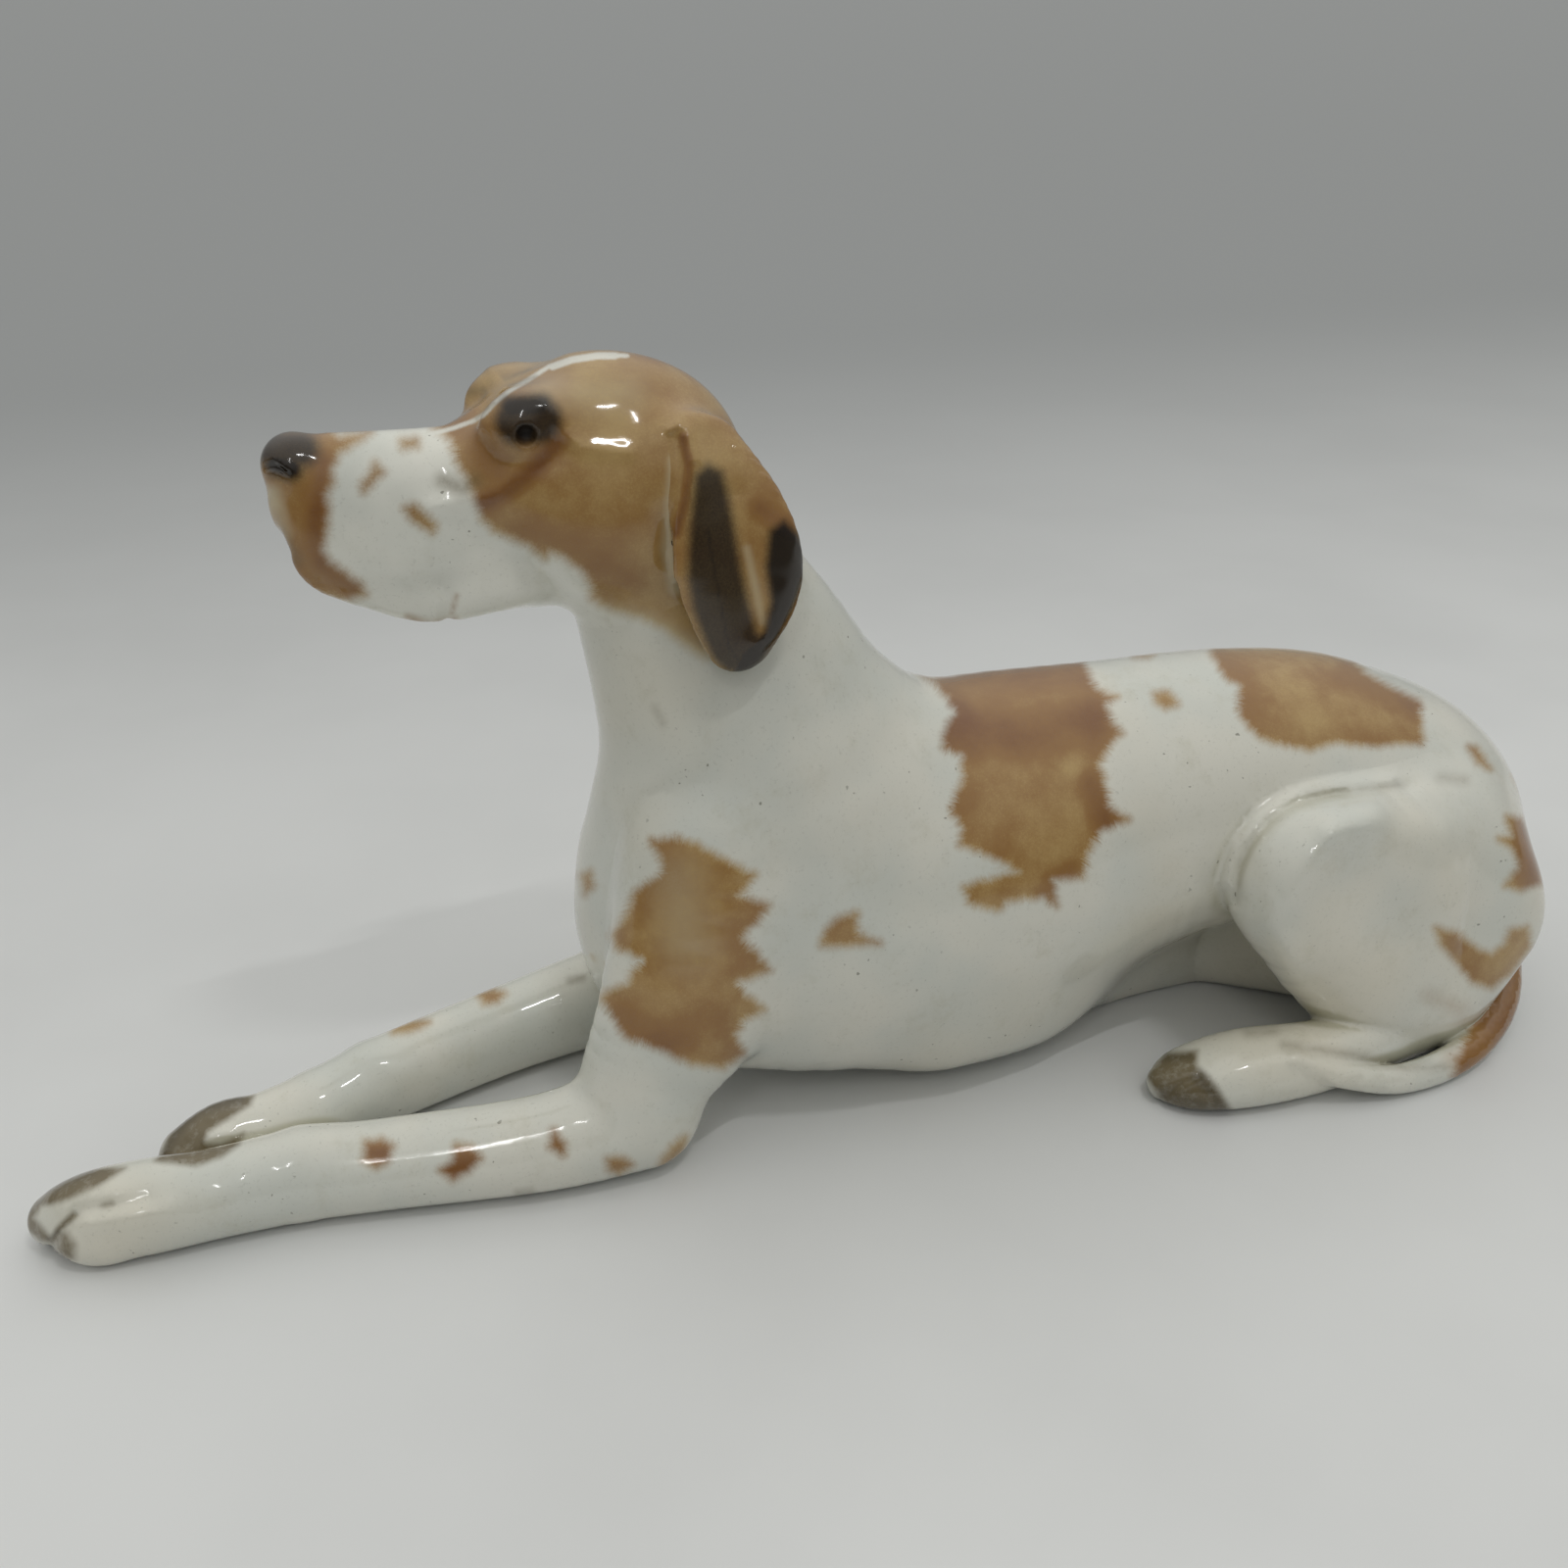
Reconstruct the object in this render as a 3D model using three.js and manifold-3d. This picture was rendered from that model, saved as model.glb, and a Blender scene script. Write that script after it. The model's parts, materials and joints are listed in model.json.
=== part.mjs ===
// A porcelain figurine of a lying gun dog, head raised, forelegs stretched out in front, tail laid round the
// left haunch. It is built as its maker builds it: slip castings, each with its own name, luted edge to edge.
//
// Millimetres. While it is modelled, x runs from the elbows (0) back to the rump, y to the dog's right and z up
// from the table (0). The finished group is moved so that its origin is under the middle of the figurine.
//
// The outer form is one distance field: masses strung on spines, run together with fillets. Every casting is
// the stretch of that form on its own side of the seams, so castings always meet along the same surface.

import * as THREE from "three";
import Module from "manifold-3d";
import { mergeVertices } from "three/addons/utils/BufferGeometryUtils.js";

const wasm = await Module();
wasm.setup();

// Driving dimensions.

const WALL = 4; // porcelain left by the slip in the moulds
const LUTE = 0.3; // layer of slip between two castings
const VENT_RADIUS = 3; // air hole under the belly
const VENT_X = 62; // from the elbows back to the air hole
const SPINE_STEPS = 5; // straight steps between two stations of a spine

const EYE_RADIUS = 3.4;
const PUPIL_RADIUS = 1.3; // pierced with a pin while the clay is soft
const PUPIL_DEPTH = 1.6;

// Length of the facets on each casting, and inside them all.
const FACET = {
  torso: 7.6,
  neck: 6.4,
  head: 3.6,
  ear: 2.7,
  foreleg: 4.8,
  haunch: 5.8,
  foot: 3.5,
  tail: 2.9,
  cavity: 8.6,
};

// Stations of a spine: centre x, y, z, then half the breadth across the spine and half the depth.
// Those of a pair are written for the left (near) side, where y is negative.

const TORSO = [
  [33, 0, 38, 27, 33],
  [55, 0, 39, 32, 38],
  [80, 0, 41, 32, 37],
  [106, 0, 45.5, 28, 32],
  [134, 0, 48, 27, 28.6],
  [158, 0, 45, 29, 27],
  [174, 0, 37, 28, 24],
];

// The underside, brought down to the table so that the mould can open.
const KEEL = [
  [84, 0, 14, 27, 16],
  [98, 0, 13, 22, 14.6],
  [112, 0, 12, 13, 13.5],
  [126, 0, 12, 7, 13],
  [138, 0, 12, 8, 13],
  [148, 0, 12, 17, 14],
  [156, 0, 14, 26, 16.5],
];

const NECK = [
  [17, 0, 120, 14, 16],
  [21, 0, 106, 15, 18.5],
  [28.5, 0, 89, 18, 23.5],
  [36, 0, 68, 23, 29],
];

const LEFT_UPPER_ARM = [
  [24, -15, 56, 12, 19],
  [17, -20, 36, 10.5, 17.5],
  [7, -21, 20, 9.5, 12.5],
];

const RIGHT_UPPER_ARM = [
  [30, 15, 56, 12, 18],
  [25, 20, 36, 10.5, 16.5],
  [18, 20.5, 20, 9.5, 12.5],
];

const LEFT_FOREARM = [
  [5, -22, 11, 9.5, 11],
  [-13, -22, 8.8, 8.6, 9],
  [-40, -18, 7.8, 8.2, 8.2],
  [-56, -15.8, 7.7, 8, 8.4],
];

const RIGHT_FOREARM = [
  [16, 20, 11, 9.5, 11],
  [-12, 15.5, 8.8, 8.6, 9],
  [-36, 8, 8.2, 7.8, 8.6],
  [-52, 2.4, 7.4, 7.4, 7.6],
];

const LEFT_FOREPAW = [
  [-56, -15.8, 7.7, 8, 8.4],
  [-70, -15.8, 7.4, 7.8, 8],
  [-86, -15.6, 7.4, 8.4, 8.4],
  [-96, -13, 5, 7.4, 6.8],
];

const RIGHT_FOREPAW = [
  [-52, 2.4, 7.4, 7.4, 7.6],
  [-62, 0, 7, 6.8, 7],
  [-69, -0.8, 6.8, 7, 7.4],
  [-75.5, -1.4, 5, 6.6, 5.8],
];

const THIGH = [
  [172, -19, 38, 19, 20],
  [154, -25, 41, 17, 18],
  [137, -31, 44, 10, 13],
];

const SHANK = [
  [137, -32, 42, 9.5, 12.5],
  [151, -34, 24, 10.5, 15.5],
  [166, -34, 13, 11, 15.5],
  [181, -28, 24, 14, 15],
];

const HIND_FOOT = [
  [162, -38, 6, 6, 6.5],
  [140, -41, 6.4, 7.2, 7],
  [124, -39.5, 6, 8.8, 7],
  [109.5, -37, 4, 7.6, 4.8],
];

const TAIL = [
  [199, 4, 36, 5, 5],
  [204, 0, 22, 4.6, 4.6],
  [201, -17, 11, 4.2, 4.2],
  [190, -34, 5.5, 3.8, 3.8],
  [173, -45.5, 3.6, 3.4, 3.4],
  [155, -49.3, 3.2, 3, 3],
  [140, -48, 6.6, 2.7, 2.7],
  [130, -45.6, 10.6, 2, 2],
];

const MUZZLE = [
  [-2, 0, 124.5, 11, 12],
  [-18, 0, 124.6, 9.6, 11],
  [-34, 0, 126, 7.6, 10],
];

const LOWER_JAW = [
  [8, 0, 114, 9, 9],
  [-14, 0, 113, 7, 7.5],
  [-35.6, 0, 116, 5.2, 5.2],
];

const FLEW = [
  [-12, -6.5, 115, 4.2, 8],
  [-22, -6.2, 115.5, 4.2, 9],
  [-33, -4.4, 120, 3.6, 9],
];

const EAR = [
  [22, -14.5, 131, 3, 6.4],
  [25, -18.5, 122, 2.8, 9.4],
  [26, -21, 113, 2.4, 10.2],
  [25.4, -21.5, 103, 2.1, 5.6],
];

// Rounded masses: centre, half-lengths along x, y and z, and the fillet they run into the rest with.
const SKULL = { at: [8, 0, 128.6], half: [23, 16, 17], fillet: 4 };
const CHEEK = { at: [10, -10, 121], half: [15, 7.5, 12], fillet: 6 };
const BROW = { at: [-4.5, -8.5, 138.4], half: [7.6, 4.6, 4.4], fillet: 5 };
const NOSE = { at: [-39.5, 0, 131.8], half: [4.8, 5.6, 4.8], fillet: 1.6 };
const RUMP = { at: [178, 0, 34], half: [25, 34, 27.4], fillet: 10 };
const BREAST = { at: [18, 0, 46], half: [14, 16, 18], fillet: 10 };

const EYE = { at: [-5.4, -10.6, 137.2], looking: [-0.36, -0.9, 0.12] }; // the left one

// Seams: a point on each plane, and the way it faces, towards the casting that is named.
const SHOULDER_PLUG = { length: 54, height: 84 }; // seen from the side
const LEFT_SHOULDER_SEAM = { ...SHOULDER_PLUG, x: 15, z: 28, from: 11 };
const RIGHT_SHOULDER_SEAM = { ...SHOULDER_PLUG, x: 21, z: 28, from: 9 };
const HAUNCH_SEAM = { x: 157, z: 22, length: 93, height: 78, from: 16 };
const BREAST_FRONT = -3; // nothing of the breast lies ahead of this
const BREAST_FOOT = { x: 4, z: 18 }; // nor ahead of this and as low as this
const HEAD_SEAM = { at: [20, 0, 109], facing: [-0.42, 0, 0.91] };
const NECK_SEAM = { at: [30, 0, 75], facing: [-0.28, 0, 0.96] };

// Boxes round the castings, roomy enough for their seams.
const BOX = {
  torso: [[-24, -64, -12], [226, 64, 108]],
  neck: [[-12, -42, 48], [86, 42, 142]],
  head: [[-58, -38, 78], [50, 38, 162]],
  foreleg: [[-114, -58, -10], [60, 58, 84]],
  haunch: [[96, -64, -12], [218, 64, 92]],
  leftEar: [[6, -34, 92], [46, -5, 148]],
  leftFoot: [[94, -56, -10], [178, -22, 24]],
  tail: [[112, -62, -8], [222, 12, 56]],
  cavity: [[-60, -60, -14], [226, 60, 162]],
};

// Distance fields: how far a point lies outside a mass.

const { min, max, abs, sqrt } = Math;

// Runs two masses together with a fillet of this size.
const blend = (a, b, fillet) => {
  const near = max(fillet - abs(a - b), 0);
  return min(a, b) - (near * near) / (4 * fillet);
};

const mirrored = (field) => (x, y, z) => field(x, -y, z);

// A smooth curve through stations of any number of values each.
function throughStations(stations, steps) {
  const at = (i) => stations[max(0, min(stations.length - 1, i))];
  const points = [stations[0]];
  for (let i = 0; i < stations.length - 1; i++) {
    for (let step = 1; step <= steps; step++) {
      const t = step / steps;
      const [before, from, to, after] = [at(i - 1), at(i), at(i + 1), at(i + 2)];
      points.push(
        from.map((b, k) => {
          const [a, c, d] = [before[k], to[k], after[k]];
          return b + 0.5 * t * (c - a + t * (2 * a - 5 * b + 4 * c - d + t * (3 * (b - c) + d - a)));
        }),
      );
    }
  }
  return points;
}

// A mass strung on a spine, oval across it: half the breadth lies along y and half the depth square to that.
function strung(stations) {
  const points = throughStations(stations, SPINE_STEPS);
  const reach = max(...points.map((p) => max(p[3], p[4])));
  const low = [0, 1, 2].map((k) => min(...points.map((p) => p[k])) - reach);
  const high = [0, 1, 2].map((k) => max(...points.map((p) => p[k])) + reach);
  return (x, y, z) => {
    const outside = max(low[0] - x, x - high[0], low[1] - y, y - high[1], low[2] - z, z - high[2]);
    if (outside > reach) return outside;
    let nearest = Infinity;
    for (let i = 0; i + 1 < points.length; i++) {
      const a = points[i];
      const b = points[i + 1];
      const [dx, dy, dz] = [b[0] - a[0], b[1] - a[1], b[2] - a[2]];
      const along = ((x - a[0]) * dx + (y - a[1]) * dy + (z - a[2]) * dz) / (dx * dx + dy * dy + dz * dz);
      const t = max(0, min(1, along));
      const [ox, oy, oz] = [x - a[0] - t * dx, y - a[1] - t * dy, z - a[2] - t * dz];
      const breadth = a[3] + t * (b[3] - a[3]);
      const depth = a[4] + t * (b[4] - a[4]);
      const across = (oy * oy) / (breadth * breadth) + (ox * ox + oz * oz) / (depth * depth);
      const away = sqrt(ox * ox + oy * oy + oz * oz);
      nearest = min(nearest, across > 1e-9 ? away - away / sqrt(across) : -min(breadth, depth));
    }
    return nearest;
  };
}

function rounded({ at, half }) {
  return (x, y, z) => {
    const [ox, oy, oz] = [x - at[0], y - at[1], z - at[2]];
    const across = sqrt((ox / half[0]) ** 2 + (oy / half[1]) ** 2 + (oz / half[2]) ** 2);
    const away = sqrt(ox * ox + oy * oy + oz * oz);
    return across > 1e-4 ? away - away / across : -min(...half);
  };
}

// Joins masses in order: each is [field, fillet].
const joined = (...masses) => (x, y, z) =>
  masses.reduce((sum, [field, fillet]) => blend(sum, field(x, y, z), fillet), 1e3);

const pair = (field, fillet) => [
  [field, fillet],
  [mirrored(field), fillet],
];

const massOf = (form) => [rounded(form), form.fillet];

const head = joined(
  massOf(SKULL),
  [strung(MUZZLE), 7],
  [strung(LOWER_JAW), 3],
  ...pair(strung(FLEW), 3),
  ...pair(rounded(CHEEK), CHEEK.fillet),
  ...pair(rounded(BROW), BROW.fillet),
  massOf(NOSE),
);
const leftForeleg = joined(
  [strung(LEFT_UPPER_ARM), 1],
  [strung(LEFT_FOREARM), 4],
  [strung(LEFT_FOREPAW), 1],
);
const rightForeleg = joined(
  [strung(RIGHT_UPPER_ARM), 1],
  [strung(RIGHT_FOREARM), 4],
  [strung(RIGHT_FOREPAW), 1],
);
const haunch = joined([strung(THIGH), 1], [strung(SHANK), 14]);
const trunk = joined(
  [strung(TORSO), 1],
  massOf(RUMP),
  massOf(BREAST),
  [strung(KEEL), 8],
  [strung(NECK), 16],
);
const figure = joined([trunk, 1], [head, 5], ...pair(haunch, 3));
const leftSide = joined([figure, 1], [leftForeleg, 5]);
const rightSide = joined([figure, 1], [rightForeleg, 5]);
const bothSides = (x, y, z) => min(leftSide(x, y, z), rightSide(x, y, z));
const ear = strung(EAR);
const hindFoot = strung(HIND_FOOT);
const tail = strung(TAIL);

// Skins: a distance field made into a closed mesh.

// Edges of a grid cell. Its corners are numbered x + 2y + 4z, and an edge runs from corner a to corner b.
const CELL_EDGES = [0, 1, 2].flatMap((axis) =>
  [0, 1, 2, 3].map((place) => {
    const a = ((place & 1) << (axis + 1) % 3) | ((place >> 1) << (axis + 2) % 3);
    return { axis, a, b: a | (1 << axis) };
  }),
);
const CELL_FACES = [0, 1, 2].flatMap((axis) =>
  [0, 1].map((side) => CELL_EDGES.map((_, e) => e).filter((e) => {
    const { a, b } = CELL_EDGES[e];
    return ((a >> axis) & 1) === side && ((b >> axis) & 1) === side;
  })),
);

// For every pattern of inside corners: which sheet of the surface each crossed edge belongs to.
const SHEETS = Array.from({ length: 256 }, (_, pattern) => {
  const isInside = (corner) => (pattern >> corner) & 1;
  const sheet = CELL_EDGES.map(({ a, b }, e) => (isInside(a) === isInside(b) ? -1 : e));
  const unite = (e, f) => {
    const [from, to] = [sheet[e], sheet[f]];
    sheet.forEach((label, k) => (sheet[k] = label === from ? to : label));
  };
  for (const face of CELL_FACES) {
    const crossed = face.filter((e) => sheet[e] >= 0);
    for (const e of crossed)
      for (const f of crossed) {
        const insideOf = ({ a, b }) => (isInside(a) ? a : b);
        const sameCorner = insideOf(CELL_EDGES[e]) === insideOf(CELL_EDGES[f]);
        if (crossed.length === 2 || sameCorner) unite(e, f);
      }
  }
  return sheet;
});

// The corners of its facets lie on the field's surface, moved outwards by grow. What leaves the box is cut off.
function skin(field, [low, high], cell, grow = 0) {
  const [nx, ny, nz] = low.map((v, k) => Math.ceil((high[k] - v) / cell) + 1);
  const step = [1, nx, nx * ny];
  const isRim = (i, j, k) => i < 1 || j < 1 || k < 1 || i > nx - 2 || j > ny - 2 || k > nz - 2;
  const value = new Float32Array(nx * ny * nz);
  for (let k = 0; k < nz; k++)
    for (let j = 0; j < ny; j++)
      for (let i = 0; i < nx; i++) {
        const least = isRim(i, j, k) ? cell : -Infinity;
        const here = field(low[0] + i * cell, low[1] + j * cell, low[2] + k * cell);
        value[i + step[1] * j + step[2] * k] = max(least, here);
      }
  const offsetOf = (corner) => (corner & 1) + step[1] * ((corner >> 1) & 1) + step[2] * (corner >> 2);
  const offsets = [0, 1, 2, 3, 4, 5, 6, 7].map(offsetOf);
  const patternAt = (node) => offsets.reduce((sum, o, c) => sum | (value[node + o] < 0 ? 1 << c : 0), 0);

  const corners = [];
  const cornerOf = new Map();
  const slope = new THREE.Vector3();
  const place = new THREE.Vector3();
  const findSlope = ({ x, y, z }) => {
    const e = 0.05;
    slope.set(
      field(x + e, y, z) - field(x - e, y, z),
      field(x, y + e, z) - field(x, y - e, z),
      field(x, y, z + e) - field(x, y, z - e),
    );
    return slope.divideScalar(2 * e);
  };
  const settle = () => {
    for (let pass = 0; pass < 3; pass++) {
      const off = field(place.x, place.y, place.z) / max(findSlope(place).lengthSq(), 0.25);
      place.addScaledVector(slope, -max(-cell / 3, min(cell / 3, off)));
    }
    place.addScaledVector(findSlope(place).normalize(), grow);
  };
  for (let k = 0; k + 1 < nz; k++)
    for (let j = 0; j + 1 < ny; j++)
      for (let i = 0; i + 1 < nx; i++) {
        const node = i + step[1] * j + step[2] * k;
        const pattern = patternAt(node);
        if (pattern === 0 || pattern === 255) continue;
        const sheets = SHEETS[pattern];
        for (const label of new Set(sheets)) {
          if (label < 0) continue;
          const crossed = CELL_EDGES.filter((_, e) => sheets[e] === label);
          place.set(0, 0, 0);
          for (const { axis, a, b } of crossed) {
            const [va, vb] = [value[node + offsets[a]], value[node + offsets[b]]];
            place.add(new THREE.Vector3(a & 1, (a >> 1) & 1, a >> 2));
            place.setComponent(axis, place.getComponent(axis) + va / (va - vb));
          }
          place.divideScalar(crossed.length).add(new THREE.Vector3(i, j, k));
          place.multiplyScalar(cell).add(new THREE.Vector3(...low));
          if (!isRim(i, j, k) && !isRim(i + 1, j + 1, k + 1)) settle();
          cornerOf.set(12 * node + label, corners.length / 3);
          corners.push(...place);
        }
      }

  const triangles = [];
  const gap = (a, b) => [0, 1, 2].reduce((sum, k) => sum + (corners[3 * a + k] - corners[3 * b + k]) ** 2, 0);
  for (let k = 0; k + 1 < nz; k++)
    for (let j = 0; j + 1 < ny; j++)
      for (let i = 0; i + 1 < nx; i++)
        for (let axis = 0; axis < 3; axis++) {
          const node = i + step[1] * j + step[2] * k;
          const inside = value[node] < 0;
          if (inside === value[node + step[axis]] < 0) continue;
          const around = [0, 1, 3, 2].map((place) => {
            const back = (place & 1) * step[(axis + 1) % 3] + (place >> 1) * step[(axis + 2) % 3];
            return cornerOf.get(12 * (node - back) + SHEETS[patternAt(node - back)][4 * axis + place]);
          });
          const [a, b, c, d] = inside ? around : around.reverse();
          if (gap(a, c) < gap(b, d)) triangles.push(a, b, c, a, c, d);
          else triangles.push(a, b, d, b, c, d);
        }
  return solidFrom(corners, triangles);
}

const solidFrom = (corners, triangles) =>
  new wasm.Manifold(
    new wasm.Mesh({
      numProp: 3,
      vertProperties: new Float32Array(corners),
      triVerts: new Uint32Array(triangles),
    }),
  );

// A three.js geometry as a solid.
function solidOf(geometry) {
  geometry.deleteAttribute("normal");
  geometry.deleteAttribute("uv");
  const merged = mergeVertices(geometry, 1e-4);
  return solidFrom(merged.attributes.position.array, merged.index.array);
}

// Seams between castings.

const FAR = 400; // beyond the figurine on every side
const PLUG_SIDES = 32;
const PLUG_SQUARENESS = 2.8; // 2 for an ellipse

// Everything on the far side of a seam plane, from a distance past it.
function beyond({ at, facing }, past) {
  const way = new THREE.Vector3(...facing).normalize();
  const box = new THREE.BoxGeometry(FAR, FAR, FAR).translate(0, 0, FAR / 2 + past);
  box.applyQuaternion(new THREE.Quaternion().setFromUnitVectors(new THREE.Vector3(0, 0, 1), way));
  return solidOf(box.translate(...at));
}

// A block between two corners.
function block(low, high) {
  const size = high.map((v, k) => v - low[k]);
  const box = new THREE.BoxGeometry(...size);
  return solidOf(box.translate(...low.map((v, k) => v + size[k] / 2)));
}

// A plug in one side of the body: a squarish oval seen from the side, from a depth y outwards, grown all round.
function sidePlug({ x, z, length, height, from }, side, grow) {
  const bulge = (v) => Math.sign(v) * abs(v) ** (2 / PLUG_SQUARENESS);
  const rim = Array.from({ length: PLUG_SIDES }, (_, i) => {
    const turn = (2 * Math.PI * i) / PLUG_SIDES;
    const [u, v] = [bulge(Math.cos(turn)), bulge(Math.sin(turn))];
    return new THREE.Vector2(x + u * (length / 2 + grow), z + v * (height / 2 + grow));
  });
  const plug = new THREE.ExtrudeGeometry(new THREE.Shape(rim), { depth: FAR / 4, bevelEnabled: false });
  plug.rotateX(Math.PI / 2).translate(0, grow - from, 0);
  return side < 0 ? solidOf(plug) : solidOf(plug).mirror([0, 1, 0]);
}

const LEFT = -1;
const RIGHT = 1;
const sides = [LEFT, RIGHT];
const underTable = block([-FAR, -FAR, -FAR], [FAR, FAR, 0]);
const headSide = beyond(HEAD_SEAM, LUTE / 2);
const aboveHeadSeam = beyond(HEAD_SEAM, -LUTE / 2);
const neckSide = beyond(NECK_SEAM, LUTE / 2);
const aboveNeckSeam = beyond(NECK_SEAM, -LUTE / 2);

// What belongs to a foreleg: the shoulder plug, and everything in front of the breast.
const shoulderPlug = (side, grow) =>
  sidePlug(side < 0 ? LEFT_SHOULDER_SEAM : RIGHT_SHOULDER_SEAM, side, grow);
const aheadOf = (x, z, grow) => block([-FAR, -FAR, -FAR], [x + grow, FAR, z + grow]);
const forelegRegion = (side, grow) =>
  shoulderPlug(side, grow)
    .add(aheadOf(BREAST_FRONT, FAR / 8, grow))
    .add(aheadOf(BREAST_FOOT.x, BREAST_FOOT.z, grow));
const haunchRegion = (side, grow) => sidePlug(HAUNCH_SEAM, side, grow);

// The castings.

// Thick parts drain hollow and open into each other; forearms, paws, ears and tail come out of the mould solid.
const hollowForm = joined(
  [trunk, 1],
  massOf(SKULL),
  ...pair(haunch, 3),
  [strung(LEFT_UPPER_ARM), 5],
  [strung(RIGHT_UPPER_ARM), 5],
);
const cavity = skin((x, y, z) => max(hollowForm(x, y, z) + WALL, WALL - z), BOX.cavity, FACET.cavity);
const ventBore = new THREE.CylinderGeometry(VENT_RADIUS, VENT_RADIUS, 4 * WALL, 24).rotateX(Math.PI / 2);
const vent = solidOf(ventBore.translate(VENT_X, 0, 0));

const torsoSkin = (grow) => skin(bothSides, BOX.torso, FACET.torso, grow);
const neckSkin = (grow) => skin(figure, BOX.neck, FACET.neck, grow);
const headSkin = (grow) => skin(figure, BOX.head, FACET.head, grow);
const haunchSkin = (grow) => skin(figure, BOX.haunch, FACET.haunch, grow);
const footSkin = (grow) => skin(hindFoot, BOX.leftFoot, FACET.foot, grow);

let torso = torsoSkin(0).subtract(underTable).subtract(aboveNeckSeam);
for (const side of sides)
  torso = torso.subtract(forelegRegion(side, LUTE)).subtract(haunchRegion(side, LUTE));

const neck = neckSkin(0).intersect(neckSide).subtract(aboveHeadSeam);
const headCasting = headSkin(0).intersect(headSide);

// An eyeball set into the socket, and the pin that pierces its pupil.
const eyeTurned = (geometry) => {
  const way = new THREE.Vector3(...EYE.looking).normalize();
  geometry.applyQuaternion(new THREE.Quaternion().setFromUnitVectors(new THREE.Vector3(0, 0, 1), way));
  return solidOf(geometry.translate(...EYE.at));
};
const eyeball = eyeTurned(new THREE.SphereGeometry(EYE_RADIUS, 18, 12));
const pin = eyeTurned(
  new THREE.CylinderGeometry(PUPIL_RADIUS, PUPIL_RADIUS / 2, 2 * PUPIL_DEPTH, 16)
    .rotateX(Math.PI / 2)
    .translate(0, 0, EYE_RADIUS),
);
const bothEyes = (solid) => solid.add(solid.mirror([0, 1, 0]));

const forelegs = sides.map((side) =>
  skin(side < 0 ? leftSide : rightSide, BOX.foreleg, FACET.foreleg)
    .intersect(forelegRegion(side, 0))
    .subtract(aboveNeckSeam)
    .subtract(underTable),
);
const haunches = sides.map((side) => haunchSkin(0).intersect(haunchRegion(side, 0)).subtract(underTable));

// What is laid on other castings is hollowed to their shape, less the lute between them.
const leftEar = skin(ear, BOX.leftEar, FACET.ear).subtract(headSkin(LUTE)).subtract(neckSkin(LUTE));
const leftHindFoot = footSkin(0).subtract(underTable).subtract(haunchSkin(LUTE));
const tailCasting = [underTable, haunchSkin(LUTE), torsoSkin(LUTE), footSkin(LUTE)].reduce(
  (rest, other) => rest.subtract(other),
  skin(tail, BOX.tail, FACET.tail),
);

// The finished figurine.

const WHITE = 0xdfdfd6; // bare glaze over white porcelain
const TAN = 0xb88a5e; // most of the head is painted
const DARK_TAN = 0x7d6148; // the ears more strongly
const GLAZE_ROUGHNESS = 0.15;

const figurine = new THREE.Group();
figurine.name = "dog_figurine";

function addCasting(name, solid, color = WHITE) {
  const mesh = solid.getMesh();
  const geometry = new THREE.BufferGeometry();
  geometry.setAttribute("position", new THREE.BufferAttribute(mesh.vertProperties.slice(), 3));
  geometry.setIndex(new THREE.BufferAttribute(mesh.triVerts.slice(), 1));
  geometry.computeVertexNormals();
  const glaze = new THREE.MeshStandardMaterial({ color, roughness: GLAZE_ROUGHNESS, metalness: 0 });
  const casting = new THREE.Mesh(geometry, glaze);
  casting.name = name;
  figurine.add(casting);
}

addCasting("torso", torso.subtract(cavity).subtract(vent));
addCasting("neck", neck.subtract(cavity));
addCasting("head", headCasting.add(bothEyes(eyeball)).subtract(cavity).subtract(bothEyes(pin)), TAN);
addCasting("left_foreleg", forelegs[0].subtract(cavity));
addCasting("right_foreleg", forelegs[1].subtract(cavity));
addCasting("left_haunch", haunches[0].subtract(cavity));
addCasting("right_haunch", haunches[1].subtract(cavity));
addCasting("left_ear", leftEar, DARK_TAN);
addCasting("right_ear", leftEar.mirror([0, 1, 0]), DARK_TAN);
addCasting("left_hind_foot", leftHindFoot);
addCasting("right_hind_foot", leftHindFoot.mirror([0, 1, 0]));
addCasting("tail", tailCasting);

// The origin is under the middle of the figurine, on the table.
figurine.updateMatrixWorld(true);
const extent = new THREE.Box3().setFromObject(figurine);
const middle = extent.getCenter(new THREE.Vector3());
for (const casting of figurine.children) casting.geometry.translate(-middle.x, -middle.y, -extent.min.z);

export default figurine;
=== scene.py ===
import json
import math

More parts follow.
